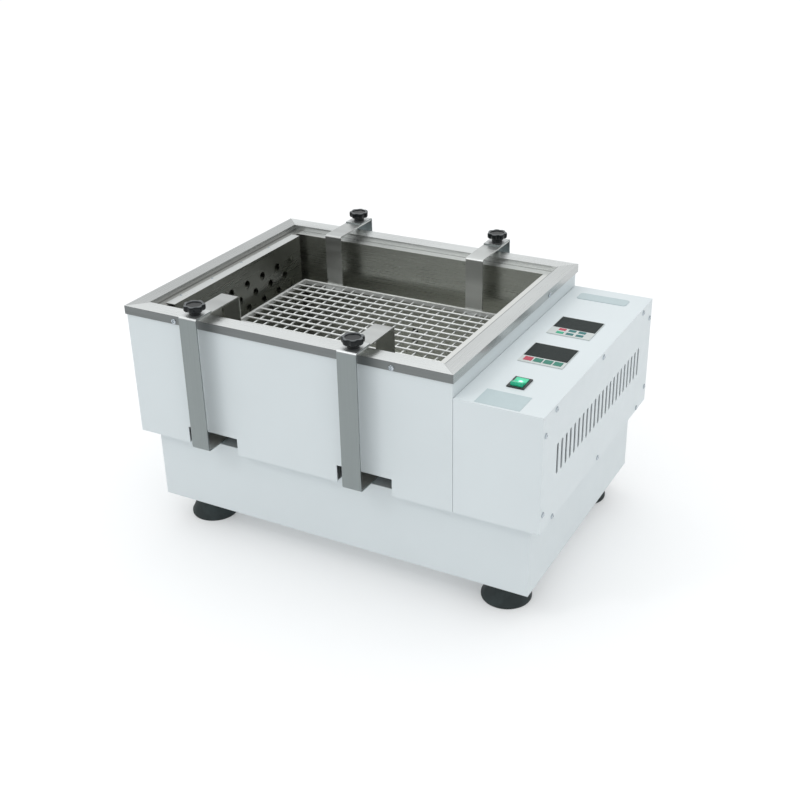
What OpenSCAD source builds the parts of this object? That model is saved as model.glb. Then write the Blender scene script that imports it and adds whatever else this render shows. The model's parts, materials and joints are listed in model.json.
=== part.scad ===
// Shaking water bath: a steel bath with a tray that four outer straps swing in a small circle.
// X runs along the front to the control box, Y runs to the back, Z is up from the bench.

/* [Heights] */
// Height of the rubber feet
foot_h = 46; // [30:1:80]
// Height of the base cabinet
base_h = 117; // [110:1:200]
// Height from the base deck to the top of the rim
housing_h = 208.5; // [190:0.5:320]
// Gap between the base deck and the floor of the bath
bath_lift = 48.5; // [40:0.5:80]
// Drop from the top of the rim to the top of the control box
box_drop = 34.7; // [22:0.1:80]

/* [Sheet metal] */
// Thickness of the sheet metal
sheet = 1.5; // [1:0.1:2]
// Gap between sheets that slide over each other
nest_gap = 0.5; // [0.2:0.1:1]

/* [Rim and bath] */
// Width of the rim along the front
rim_w = 540; // [500:1:640]
// Depth of the rim from front to back
rim_d = 450.5; // [430:0.5:540]
// Height of the skirt that hangs from the rim
skirt_h = 13; // [10:0.5:25]
// Width of the rim's flat border at the left and right
border_x = 25.5; // [20:0.5:35]
// Width of the rim's flat border at the front and back
border_y = 27.5; // [20:0.5:35]
// Width of the lower ledge between the border and the bath
ledge_w = 16.2; // [12:0.1:24]
// Drop from the border to the ledge
ledge_drop = 9; // [6:0.5:12]
// How much more the rim overhangs the housing at the back
rear_overhang = 4; // [0:0.5:5]
// Distance of the skirt screws from the middle of the front and back
skirt_screw_x = 179.3; // [170:0.1:200]
// How far behind the middle of each side its skirt screw sits
skirt_screw_y = 104; // [60:1:150]

/* [Perforated partition] */
// Gap between the bath's left wall and the partition
partition_gap = 9.8; // [9:0.1:20]
// Distance from the bath's front and back walls to the partition
partition_end = 11.7; // [4:0.1:20]
// Diameter of the holes
hole_d = 14; // [6:0.5:16]
// Distance between holes along a row
hole_pitch = 43.6; // [36:0.2:60]
// Distance between rows
row_pitch = 20.8; // [18:0.2:30]
// Drop from the rim to the top row
first_row = 41; // [30:0.1:60]
// Distance of the first hole from the partition's rear end
first_hole = 29.7; // [15:0.1:40]
// Width of the lip that rests on the ledge
lip_on_ledge = 4.7; // [4.5:0.1:8]

/* [Base and feet] */
// How far the base is set in under the left and right of the housing
base_inset_x = 20; // [10:1:30]
// How far the base is set in under the front of the housing
base_inset_y = 17; // [10:1:30]
// How far the base is set in under the back of the housing
base_inset_back = 12.5; // [10:0.5:30]
// Diameter of a foot at the bench
foot_d = 74; // [50:1:90]
// Diameter of a foot at the top
foot_top_d = 52; // [40:1:60]
// Distance of a foot's centre from the base's left and right sides
foot_inset_x = 53; // [45:1:80]
// Distance of a foot's centre from the base's front and back
foot_inset_y = 51; // [45:1:80]

/* [Control box] */
// Width of the control box without its side panel
box_w = 125.5; // [110:0.5:180]
// Width of a slot in the side panel
slot_w = 6.5; // [3:0.5:8]
// Height of a slot in the side panel
slot_h = 46.5; // [30:0.5:80]
// Distance between slots
slot_pitch = 15.85; // [12:0.05:17]
// Distance of the end slots from the front and back of the box, at least
slot_margin = 50; // [30:1:80]
// Height of the top of the slots below the top of the box
slot_drop = 61.8; // [30:0.1:70]

/* [Controllers and switch] */
// Width and depth of a controller's face
face_w = 66; // [60:0.5:72]
// Thickness of a controller's face above the panel
face_t = 1.4; // [1:0.1:3]
// Front edge of the speed controller from the front of the rim
speed_y = 145; // [135:0.5:160]
// Front edge of the temperature controller from the front of the rim
temperature_y = 250.5; // [240:0.5:280]
// Depth of the key strip on the speed controller
speed_strip = 20; // [15:0.5:25]
// Depth of the key strip on the temperature controller
temperature_strip = 25; // [22:0.5:30]
// How far a key travels
key_travel = 0.8; // [0.3:0.1:1]
// Width of the switch frame
switch_w = 25; // [20:0.5:30]
// Length of the switch frame
switch_l = 32; // [26:0.5:36]
// Tilt of the rocker to each side
rocker_tilt = 9; // [4:0.5:10]
// Front edge of the front label from the front of the rim
front_label_y = 6; // [4:0.5:15]
// Front edge of the rear label from the back of the box
rear_label_back = 49.5; // [40:0.5:70]

/* [Shaker] */
// Radius of the tray's circular path
orbit_r = 10; // [4:0.5:12]
// Angle of the crank at rest
crank_a = 145; // [0:1:359]
// Drive spindle to the right of the bath's middle
drive_x = 3.2; // [-6:0.1:6]
// Drive spindle behind the bath's middle
drive_y = -3.5; // [-6:0.1:6]
// Width of a strap
strap_w = 30; // [20:1:40]
// Thickness of a strap
strap_t = 2; // [1.5:0.1:2.5]
// Distance of a strap's middle from the tray's left and right ends
strap_inset = 61; // [45:1:90]
// Gap from the rim to a strap's outer face, at the middle of its swing
strap_clear = 26.25; // [24:0.25:40]
// Height of the strap's top above the rim
strap_rise = 13.5; // [12:0.5:25]
// Length of the strap's top flange
strap_flange = 38; // [36:0.5:50]
// Length of the strap's foot
strap_foot = 111; // [105:1:130]
// Outer radius of a bend in the strip
bend_r = 4; // [3:0.5:6]
// Height of the strap's foot above the base deck
strap_lift = 10; // [10:0.5:18]
// Width of a notch in the housing for a strap
notch_w = 89; // [70:1:100]
// Height of a notch
notch_h = 27; // [20:0.5:30]

/* [Tray] */
// Gap from the tray to the bath's left and right walls
tray_gap_x = 37.3; // [30:0.1:60]
// Gap from the tray to the bath's front and back walls
tray_gap_y = 36.5; // [30:0.5:60]
// Depth of the tray's top below the rim
tray_drop = 75; // [50:0.5:110]
// Width of the tray's frame bar
bar_w = 5; // [4:0.5:12]
// Diameter of the long rods
rod_d = 3.2; // [2.5:0.1:5]
// Diameter of the cross rods
cross_d = 2.8; // [2:0.1:4]
// Distance between the long rods
mesh_y = 19.3; // [12:0.1:40]
// Distance between the cross rods
mesh_x = 19; // [12:0.1:40]

/* [Knobs] */
// Diameter of a star knob
knob_d = 32; // [26:0.5:36]
// Height of the knob's head
knob_head = 9.5; // [6:0.5:14]
// Height of the knob's neck
knob_neck = 5.5; // [3:0.5:8]
// Number of lobes on a knob
knob_lobes = 7; // [5:1:8]
// Diameter of the knob's stud
stud_d = 8; // [6:0.5:10]

/* [Drive] */
// Diameter of the drive spindle
spindle_d = 15; // [12:0.5:16]
// Outside diameter of the spindle bearings
bearing_d = 32; // [28:1:36]
// Radius of the driven pulley's groove
driven_r = 45; // [35:1:55]
// Radius of the motor pulley's groove
motor_pulley_r = 15; // [12:1:20]
// Distance from the spindle to the motor
motor_reach = 150; // [130:1:170]
// Radius of the motor
motor_r = 35; // [25:1:36]
// Gap between a strap and the bearing ring of the idler crank beside it
idler_gap = 6; // [3:0.5:20]
// Distance of an idler crank from the end of the carriage plate
idler_inset = 60; // [40:1:80]
// Distance from a strap's outer face to the end of the carriage plate
carriage_inset = 61.5; // [50:0.5:70]
// Thickness of the carriage plate
carriage_t = 3; // [2:0.5:3]
// Running clearance of a shaft in its bearing
run_gap = 0.05; // [0.02:0.01:0.08]
// Loose clearance round a part that must not touch
free_gap = 0.3; // [0.2:0.05:0.4]

/* [Drain] */
// Outside diameter of the drain pipe
drain_d = 16; // [12:1:20]
// Outside diameter of the hose spigot
spigot_d = 12; // [10:0.5:14]
// Length of the hose spigot
spigot_l = 24; // [18:1:34]
// Length of the drain lever
lever_l = 38; // [25:1:50]

/* [Hidden] */
$fn = 48;
// A little extra length so that a cut passes right through
cut = 1;

// Levels above the bench
deck_z = foot_h + base_h;
rim_z = deck_z + housing_h;
ledge_z = rim_z - ledge_drop;
tank_depth = housing_h - bath_lift;
tank_floor_z = rim_z - tank_depth;
box_h = housing_h - box_drop;
box_z = deck_z + box_h;
tray_z = rim_z - tray_drop;
strap_top_z = rim_z + strap_rise;
carriage_z = deck_z + strap_lift;
under_deck_z = deck_z - sheet;

// Housing, bath and control box in plan
housing_0 = sheet + nest_gap;
housing_w = rim_w - 2 * housing_0;
housing_d = rim_d - 2 * housing_0 - rear_overhang;
housing_y1 = housing_0 + housing_d;
box_x0 = housing_0 + housing_w;
box_x1 = box_x0 + box_w;
side_x = box_x1 + sheet;
tank_x0 = border_x + ledge_w;
tank_y0 = border_y + ledge_w;
tank_x1 = rim_w - tank_x0;
tank_y1 = rim_d - tank_y0;
skirt_screw_z = rim_z - 0.65 * skirt_h;
flange_w = 16;
wall_flange = base_inset_x + flange_w;
slot_count = floor((housing_d - 2 * slot_margin) / slot_pitch) + 1;
flange_t = sheet;

// Screws and their holes
screw_head_d = 8;
screw_head_h = 2;
screw_d = 3.8;
screw_gap = 0.1;
small_head_d = 3.6;
small_head_h = 1.2;
small_d = 2.5;
rim_screw_l = 2.6 * sheet;

// Base in plan
base_x0 = housing_0 + base_inset_x;
base_x1 = side_x - base_inset_x;
base_y0 = housing_0 + base_inset_y;
base_y1 = housing_y1 - base_inset_back;
foot_places = [
    for (x = [base_x0 + foot_inset_x, base_x1 - foot_inset_x])
        for (y = [base_y0 + foot_inset_y, base_y1 - foot_inset_y]) [x, y]
];
foot_bolt_d = 8;
foot_bolt_head_d = 13;
foot_bolt_head_h = 5.5;
foot_seat = 0.65 * foot_h;

// Orbit and carriage
orbit_x = rim_w / 2 + drive_x;
orbit_y = rim_d / 2 + drive_y;
tray_w = tank_x1 - tank_x0 - 2 * tray_gap_x;
tray_d = tank_y1 - tank_y0 - 2 * tray_gap_y;
strap_pitch = tray_w - 2 * strap_inset;
strap_reach = rim_d / 2 + strap_clear;
carriage_x = orbit_x + orbit_r * cos(crank_a);
carriage_y = orbit_y + orbit_r * sin(crank_a);
strap_places = [for (j = [0, 1]) for (i = [-1, 1]) [i, j]];
disc_t = 4;
disc_edge = 8;
idler_disc_edge = 4;
weight = [38, 60];
weight_x = 14;
collar_t = 3;
collar_edge = 2.5;
disc_z = under_deck_z + collar_t;
pin_d = 12;
pin_above = 4;
idler_pin_d = 10;
idler_shaft_d = 12;
ring_h = 10;
ring_low = 0.5;
ring_flange_t = 2;
ring_flange_w = 4;
ring_wall = 10;
idler_ring_r = idler_pin_d / 2 + ring_wall + ring_flange_w;
idler_x = (strap_pitch + strap_w) / 2 + idler_gap + idler_ring_r;
idler_y = strap_reach - carriage_inset - idler_inset;
idler_places = [for (i = [-1, 1]) for (j = [-1, 1]) [i * idler_x, j * idler_y]];
carriage_edge = 25;
carriage_w = 2 * (idler_x + carriage_edge);
carriage_d = 2 * (strap_reach - carriage_inset);
pin_top_z = carriage_z + pin_above;
notch_shift = -3.9;
notch_spread = 1;
strap_screw_d = 5;
strap_screw_head_d = 9;
strap_screw_head_h = 3;
strap_screw_end = 10;
strap_screw_pitch = 16;
strap_screw_u = [strap_foot - strap_screw_end - strap_screw_pitch, strap_foot - strap_screw_end];

// Knobs sit in the middle of the strap flange
knob_u = strap_flange / 2;
knob_gap = 0.1;
nut_d = 14;
nut_h = 5;
hanger_t = strap_t;
hanger_w = strap_w;
hanger_u0 = bend_r;
hanger_foot = 15;
hanger_bend = strap_reach - tray_d / 2 - hanger_u0;
hanger_top_z = strap_top_z - strap_t;
rod_cover = 0.2;
rod_gap = 0.1;
bar_h = rod_d + rod_gap + cross_d + 2 * rod_cover;
tray_bottom_z = tray_z - bar_h;

// Control panel places
panel_shift = -0.45;
panel_mid_x = (box_x0 + box_x1) / 2 + panel_shift;
face_x0 = panel_mid_x - face_w / 2;
body_inset = 3;
body_h = 60;
window_t = 1.2;
window_edge = 1;
key_gap = 0.2;
key_t = 2;
key_proud = 0.3;
speed_keys = [for (i = [0:3]) [face_x0 + 11.9 + 14.6 * i, speed_y + speed_strip / 2 + 1]];
speed_key_size = [12, 12];
temperature_keys = [
    for (j = [1, 0])
        for (i = [0:2]) [face_x0 + 18.2 + 15.05 * i, temperature_y + 7.5 + 11.8 * j]
];
temperature_key_size = [10.6, 7];
switch_x = panel_mid_x - 1.5;
switch_y = 80;
bezel_t = 2;
switch_body = 20;
pivot_z = box_z + 0.5;
rocker_x = switch_w - 7.2;
rocker_y = switch_l - 9;
rocker_side_gap = 0.3;
rocker_pin_d = 2.4;
rocker_pin_l = 1.5;
front_label = [64, 42, 0.4];
rear_label = [79, 24, 0.8];
label_y = [front_label_y, housing_y1 - rear_label_back];

// Drive in the base
pulley_z = foot_h + 20;
pulley_h = 12;
pulley_flange_t = 1;
pulley_flange_h = 3;
belt_t = 2.5;
belt_w = pulley_h - 2 * pulley_flange_t - 2 * free_gap;
spindle_r = spindle_d / 2;
bearing_h = 9;
pulley_room = 50;
tube_wall = 8;
tube_flange_w = 26;
bearing_step = 4;
housing_tube_h = base_h - pulley_room;
housing_tube_r = bearing_d / 2 + tube_wall;
housing_flange_r = bearing_d / 2 + tube_flange_w;
housing_flange_h = 6;
motor_gap = 6;
motor_z = pulley_z + pulley_h + motor_gap;
motor_h = base_h - pulley_room;
motor_shaft_r = 5;
motor_shaft_in = 12;
shaft_end = 4;
bracket_t = 2;
idler_block_h = 34;
idler_block_wall = 11;
idler_block_flange = [20, 5];
bracket_room = 6;
bracket_foot = 14;
bracket_hole_r = 14;

// Drain
drain_x = rim_w / 2;
drain_z = tank_floor_z + drain_d / 2 + 2.5;
drain_bore_d = drain_d - 5;
valve_y = housing_y1 + 14;
valve_r = drain_d / 2 + 3;
valve_flange_t = 3;
valve_top = drain_d / 2 + 3;
spigot_bore_d = spigot_d - 4;
spigot_collar = [spigot_d + 5, 1];
spigot_z = drain_z - valve_r - spigot_collar[1] - spigot_l;
stem_d = 6;
lever_w = 8;
lever_t = 4;

// Partition, heater and probe in the bath
partition_x = tank_x0 + partition_gap;
partition_more = 5;
partition_y0 = tank_y0 + partition_end - partition_more;
partition_y1 = tank_y1 - partition_end;
heater_d = 6.5;
heater_x = tank_x0 + partition_gap / 2;
heater_front = 40;
heater_back = 90;
heater_lift = 14;
heater_pitch = 24;
heater_y = [tank_y0 + heater_front, tank_y1 - heater_back];
heater_z = [tank_floor_z + heater_lift, tank_floor_z + heater_lift + heater_pitch];
probe_d = 6;
probe_l = 25;
probe_back = 60;
probe_lift = 50;
probe_y = tank_y1 - probe_back;
probe_z = tank_floor_z + probe_lift;
gland_d = 16;
gland_h = 8;
gland_tail = 18;
insulation_t = 12;
hole_edge = 2;
row_room = partition_y1 - partition_y0 - first_hole - hole_d / 2 - hole_edge;
row_floor_gap = 30;
hole_rows = floor((tank_depth - first_row - row_floor_gap) / row_pitch) + 1;
lip_screw_front = 33.6;
lip_screw_back = 72.6;
lip_screw_pitch = (partition_y1 - partition_y0 - lip_screw_front - lip_screw_back) / 3;
lip_screw_x = tank_x0 - lip_on_ledge + 1.9;

// Inside and back of the control box
box_flange = 12;
cable_x = (box_x0 + box_x1) / 2 - 7.75;
cable_y = housing_y1 - 76;
cable_d = 26;
inlet_x = (box_x0 + box_x1) / 2 - 0.75;
inlet_z = deck_z + 40;
inlet_w = 27;
inlet_h = 20;
inlet_ear = 50;
inlet_flange_h = 24;
inlet_flange_t = 3;
inlet_recess = [24, 16, 15.5];
relay_x = box_x0 + 30;
relay_y = 70;
relay_base = [60, 80, 4];
relay_fin = [2, 30, 20];
relay_fin_pitch = 8;
relay_fins = 7;
relay_case = [45, 40, 23];

// The whole stands centred over its own middle
mid_x = side_x / 2;
mid_y = carriage_y;

white = [0.86, 0.89, 0.90];
steel = [0.66, 0.68, 0.68];
dark = [0.16, 0.17, 0.17];
key_green = [0.17, 0.5, 0.42];
key_red = [0.78, 0.24, 0.33];
key_bright = [0.1, 0.66, 0.46];

function arc(centre, r, from, to, steps = 6) = [
    for (i = [0:steps])
        let (a = from + (to - from) * i / steps)
        [centre[0] + r * cos(a), centre[1] + r * sin(a)]
];

module placed() translate([-mid_x, -mid_y, 0]) children();
module at_orbit() translate([orbit_x, orbit_y, 0]) children();
module at_carriage() translate([carriage_x, carriage_y, 0]) children();

// A box given by two opposite corners
module block(low, high) translate(low) cube(high - low);

// A screw whose head stands on the level z = 0 and whose shank goes down
module screw(head_d, head_h, shank_d, shank_l) {
    cylinder(d = head_d, h = head_h);
    translate([0, 0, -shank_l]) cylinder(d = shank_d, h = shank_l);
}

// A ring with a bore
module ring(outer_d, bore_d, h) difference() {
    cylinder(d = outer_d, h = h);
    translate([0, 0, -cut]) cylinder(d = bore_d, h = h + 2 * cut);
}

// Puts children at the skirt screws, with Z pointing out of each side
module at_skirt_screws() {
    at_front_and_side_screws() children();
    at_rear_screws() children();
}
module at_front_and_side_screws() {
    for (i = [-1, 1])
        translate([rim_w / 2 + i * skirt_screw_x, 0, skirt_screw_z]) rotate([90, 0, 0]) children();
    translate([0, rim_d / 2 + skirt_screw_y, skirt_screw_z]) rotate([0, -90, 0]) children();
    translate([rim_w, rim_d / 2 + skirt_screw_y, skirt_screw_z]) rotate([0, 90, 0]) children();
}
module at_rear_screws() for (i = [-1, 1])
    translate([rim_w / 2 + i * skirt_screw_x, rim_d, skirt_screw_z]) rotate([-90, 0, 0]) children();

// Puts children at the lip screws of the partition
module at_lip_screws() for (i = [0:3])
    translate([lip_screw_x, partition_y0 + lip_screw_front + lip_screw_pitch * i, ledge_z + sheet])
        children();

// Puts children at the screws of the side panel, with Z pointing out
module at_side_screws() {
    edge = 9;
    low = deck_z + 5;
    for (t = [46, 0.5 * (housing_0 + housing_y1), housing_y1 - 44])
        for (z = [low, box_z - 7.3])
            translate([side_x, t, z]) rotate([0, 90, 0]) children();
    for (t = [housing_0 + edge, housing_y1 - edge])
        for (z = [deck_z + 27, box_z - 29])
            translate([side_x, t, z]) rotate([0, 90, 0]) children();
}

// Notches in the housing's front and back walls that the straps pass through
module notch_cuts() for (s = [0, 1]) for (i = [-1, 1])
    translate([orbit_x + notch_shift + i * (strap_pitch + notch_spread) / 2,
               s * (housing_y1 + housing_0), deck_z])
        translate([-notch_w / 2, -wall_flange - housing_0 - 0.01, -cut])
            cube([notch_w, 2 * wall_flange + 2 * housing_0 + 0.02, notch_h + cut]);

module base_shell() color(white) placed() difference() {
    union() {
        difference() {
            block([base_x0, base_y0, foot_h + sheet], [base_x1, base_y1, deck_z]);
            block([base_x0 + sheet, base_y0 + sheet, foot_h],
                  [base_x1 - sheet, base_y1 - sheet, under_deck_z]);
        }
        // Flange that the bottom plate screws to
        difference() {
            block([base_x0, base_y0, foot_h + sheet], [base_x1, base_y1, foot_h + 2 * sheet]);
            block([base_x0 + flange_w, base_y0 + flange_w, foot_h],
                  [base_x1 - flange_w, base_y1 - flange_w, foot_h + 3 * sheet]);
        }
    }
    // Clear holes in the deck for the spindle and the idler shafts
    at_orbit() {
        translate([0, 0, under_deck_z - cut]) cylinder(d = spindle_d + 13, h = sheet + 2 * cut);
        for (p = idler_places)
            translate([p[0], p[1], under_deck_z - cut])
                cylinder(d = idler_shaft_d + 12, h = sheet + 2 * cut);
    }
    // Cable hole into the control box
    translate([cable_x, cable_y, under_deck_z - cut]) cylinder(d = cable_d, h = sheet + 2 * cut);
}

module base_bottom_plate() color(white) placed() difference() {
    block([base_x0, base_y0, foot_h], [base_x1, base_y1, foot_h + sheet]);
    for (p = foot_places)
        translate([p[0], p[1], foot_h - cut])
            cylinder(d = foot_bolt_d + 2 * screw_gap, h = sheet + 2 * cut);
    // Air slots under the motor
    for (i = [-3:3])
        translate([orbit_x + motor_reach + 12 * i - 2.5, orbit_y - 30, foot_h - cut])
            cube([5, 60, sheet + 2 * cut]);
}

module foot_profile() polygon(concat(
    [[foot_bolt_head_d / 2 + 2.5, 0], [foot_d / 2 - 1, 0], [foot_d / 2, 1]],
    [for (i = [0:8]) let (t = i / 8)
        [foot_top_d / 2 + (foot_d - foot_top_d) / 2 * pow(1 - t, 2.2), 5 + (foot_h - 5) * t]],
    [[foot_bolt_d / 2 + screw_gap, foot_h], [foot_bolt_d / 2 + screw_gap, foot_seat],
     [foot_bolt_head_d / 2 + 2.5, foot_seat]]
));

module rubber_feet() color(dark) placed() for (p = foot_places)
    translate([p[0], p[1], 0]) rotate_extrude() foot_profile();

module foot_bolts() color(steel) placed() for (p = foot_places) translate([p[0], p[1], 0]) {
    translate([0, 0, foot_seat - foot_bolt_head_h])
        cylinder(d = foot_bolt_head_d, h = foot_bolt_head_h, $fn = 6);
    translate([0, 0, foot_seat]) cylinder(d = foot_bolt_d, h = foot_h - foot_seat + 10);
    translate([0, 0, foot_h + sheet]) ring(foot_bolt_head_d, foot_bolt_d + 2 * screw_gap, 6.5);
}

module upper_housing() color(white) placed() difference() {
    union() {
        difference() {
            block([housing_0, housing_0, deck_z], [box_x0, housing_y1, rim_z - sheet]);
            block([housing_0 + sheet, housing_0 + sheet, deck_z - cut],
                  [box_x0 - sheet, housing_y1 - sheet, rim_z]);
        }
        // Bottom flange that stands on the base deck
        difference() {
            block([housing_0, housing_0, deck_z], [box_x0, housing_y1, deck_z + flange_t]);
            block([housing_0 + wall_flange, housing_0 + wall_flange, deck_z - cut],
                  [box_x0 - wall_flange, housing_y1 - wall_flange, deck_z + flange_t + cut]);
        }
        // Inner angle that carries the bath
        difference() {
            block([housing_0, housing_0, ledge_z - 2 * sheet - 12],
                  [box_x0, housing_y1, ledge_z - sheet]);
            block([housing_0 + 2 * sheet, housing_0 + 2 * sheet, ledge_z - 30],
                  [box_x0 - 2 * sheet, housing_y1 - 2 * sheet, ledge_z - 2 * sheet]);
            block([housing_0 + 24, housing_0 + 24, ledge_z - 30],
                  [box_x0 - 24, housing_y1 - 24, ledge_z]);
        }
    }
    notch_cuts();
    at_skirt_screws() translate([0, 0, -20])
        cylinder(d = screw_d + 2 * screw_gap, h = 20);
    // Drain pipe and heater wiring
    translate([drain_x, housing_y1 + cut, drain_z]) rotate([90, 0, 0])
        cylinder(d = drain_d + 1, h = sheet + 2 * cut);
    translate([box_x0 + cut, cable_y, deck_z + 40]) rotate([0, -90, 0])
        cylinder(d = 16, h = sheet + 2 * cut);
}

module tank() color(steel) placed() difference() {
    union() {
        block([tank_x0 - sheet, tank_y0 - sheet, tank_floor_z - sheet],
              [tank_x1 + sheet, tank_y1 + sheet, ledge_z]);
        block([housing_0 + 2 * sheet, housing_0 + 2 * sheet, ledge_z - sheet],
              [box_x0 - 2 * sheet, housing_y1 - 2 * sheet, ledge_z]);
    }
    block([tank_x0, tank_y0, tank_floor_z], [tank_x1, tank_y1, rim_z]);
    heater_holes(heater_d + 2 * screw_gap);
    probe_hole(probe_d + 2 * screw_gap);
    translate([drain_x, tank_y1 + sheet + cut, drain_z]) rotate([90, 0, 0])
        cylinder(d = drain_bore_d, h = sheet + 2 * cut);
    at_lip_screws() translate([0, 0, -2 * sheet - cut])
        cylinder(d = small_d + 2 * screw_gap, h = 3 * sheet);
}

module rim_frame() color(steel) placed() difference() {
    union() {
        difference() {
            block([0, 0, rim_z - skirt_h], [rim_w, rim_d, rim_z]);
            block([sheet, sheet, rim_z - skirt_h - cut], [rim_w - sheet, rim_d - sheet, rim_z - sheet]);
        }
        block([border_x - sheet, border_y - sheet, ledge_z],
              [rim_w - border_x + sheet, rim_d - border_y + sheet, rim_z]);
    }
    block([border_x, border_y, ledge_z - cut], [rim_w - border_x, rim_d - border_y, rim_z + cut]);
    at_skirt_screws() translate([0, 0, -sheet - cut])
        cylinder(d = screw_d + 2 * screw_gap, h = sheet + 2 * cut);
}

module rim_screws() color(steel) placed() {
    at_front_and_side_screws() screw(screw_head_d, screw_head_h, screw_d, rim_screw_l);
    at_rear_screws() screw(screw_head_d, screw_head_h, screw_d, rim_screw_l + rear_overhang);
    at_lip_screws() screw(small_head_d, small_head_h, small_d, 3 * sheet);
}

// Perforated guard in front of the heater
module perforated_partition() color(steel) placed() difference() {
    union() {
        block([partition_x, partition_y0, tank_floor_z],
              [partition_x + sheet, partition_y1, ledge_z + sheet]);
        block([tank_x0 - lip_on_ledge, partition_y0, ledge_z],
              [partition_x + sheet, partition_y1, ledge_z + sheet]);
    }
    for (r = [0:hole_rows - 1])
        let (shift = (r % 2) * hole_pitch / 2)
        for (c = [0:floor((row_room - shift) / hole_pitch)])
            translate([partition_x - cut, partition_y1 - first_hole - shift - hole_pitch * c,
                       rim_z - first_row - row_pitch * r]) rotate([0, 90, 0])
                cylinder(d = hole_d, h = sheet + 2 * cut);
    at_lip_screws() translate([0, 0, -sheet - cut])
        cylinder(d = small_d + 2 * screw_gap, h = sheet + 2 * cut);
}

// Heater tube: a hairpin that lies along the left wall behind the partition
module heater_holes(d) for (z = heater_z)
    translate([tank_x0 - sheet - cut, heater_y[0], z]) rotate([0, 90, 0])
        cylinder(d = d, h = sheet + 2 * cut);

module heater_element() color(steel) placed() {
    for (z = heater_z) {
        translate([heater_x, heater_y[0], z]) {
            sphere(d = heater_d);
            rotate([-90, 0, 0]) cylinder(d = heater_d, h = heater_y[1] - heater_y[0]);
            rotate([0, -90, 0]) cylinder(d = heater_d, h = heater_x - tank_x0 + sheet + gland_tail);
        }
        translate([tank_x0 - sheet - gland_h, heater_y[0], z]) rotate([0, 90, 0])
            cylinder(d = gland_d, h = gland_h);
    }
    translate([heater_x, heater_y[1], (heater_z[0] + heater_z[1]) / 2]) rotate([0, 90, 0])
        rotate_extrude(angle = 180)
            translate([(heater_z[1] - heater_z[0]) / 2, 0]) circle(d = heater_d);
}

// Temperature probe through the left wall
module probe_hole(d) translate([tank_x0 - sheet - cut, probe_y, probe_z]) rotate([0, 90, 0])
    cylinder(d = d, h = sheet + 2 * cut);

module temperature_probe() color(steel) placed() translate([heater_x, probe_y, probe_z]) {
    sphere(d = probe_d);
    rotate([90, 0, 0]) cylinder(d = probe_d, h = probe_l);
    rotate([0, -90, 0]) cylinder(d = probe_d, h = heater_x - tank_x0 + sheet + gland_tail);
    translate([tank_x0 - heater_x - sheet - gland_h, 0, 0]) rotate([0, 90, 0])
        cylinder(d = gland_d - 2, h = gland_h);
}

module tank_insulation() color([0.8, 0.75, 0.6]) placed() difference() {
    block([tank_x0 - sheet, tank_y0 - sheet - insulation_t, tank_floor_z - sheet - insulation_t],
          [tank_x1 + sheet + insulation_t, tank_y1 + sheet + insulation_t, ledge_z - 20]);
    block([tank_x0 - sheet - cut, tank_y0 - sheet, tank_floor_z - sheet],
          [tank_x1 + sheet, tank_y1 + sheet, rim_z]);
    translate([drain_x, tank_y1 + sheet - cut, drain_z]) rotate([-90, 0, 0])
        cylinder(d = drain_d + 1, h = insulation_t + 2 * cut);
}

module drain_fitting() color(steel) placed()
    translate([drain_x, tank_y1 + sheet, drain_z]) rotate([-90, 0, 0])
        ring(drain_d, drain_bore_d, housing_y1 - tank_y1 - sheet + valve_flange_t);

module drain_valve_body() color(steel) placed() difference() {
    union() {
        translate([drain_x, housing_y1, drain_z]) rotate([-90, 0, 0]) {
            cylinder(r = valve_r + 3, h = valve_flange_t);
            cylinder(r = valve_r, h = valve_y - housing_y1 + 10);
        }
        translate([drain_x, valve_y, drain_z]) cylinder(d = 14, h = valve_top);
        // Hose spigot under a round collar
        translate([drain_x, valve_y, spigot_z]) {
            cylinder(d = spigot_d, h = spigot_l + valve_r);
            translate([0, 0, spigot_l]) cylinder(d = spigot_collar[0], h = spigot_collar[1] + valve_r);
        }
    }
    translate([drain_x, housing_y1 - cut, drain_z]) rotate([-90, 0, 0])
        cylinder(d = drain_d + 2 * screw_gap, h = valve_flange_t + cut);
    translate([drain_x, housing_y1, drain_z]) rotate([-90, 0, 0])
        cylinder(d = drain_bore_d, h = valve_y - housing_y1 + 2);
    translate([drain_x, valve_y, spigot_z - cut])
        cylinder(d = spigot_bore_d, h = drain_z - spigot_z + cut);
    translate([drain_x, valve_y, drain_z + drain_bore_d / 2 + 1])
        cylinder(d = stem_d + 2 * run_gap, h = valve_top);
}

// The lever lies along the wall when the drain is shut
module drain_lever() color([0.75, 0.1, 0.1]) placed()
    translate([drain_x, valve_y, drain_z + valve_top + free_gap]) {
        translate([0, 0, -4]) cylinder(d = stem_d, h = 5);
        cylinder(d = 14, h = lever_t);
        translate([-lever_l, -lever_w / 2, 0]) cube([lever_l, lever_w, lever_t]);
        translate([-lever_l, 0, 0]) cylinder(d = lever_w, h = lever_t);
    }

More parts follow.
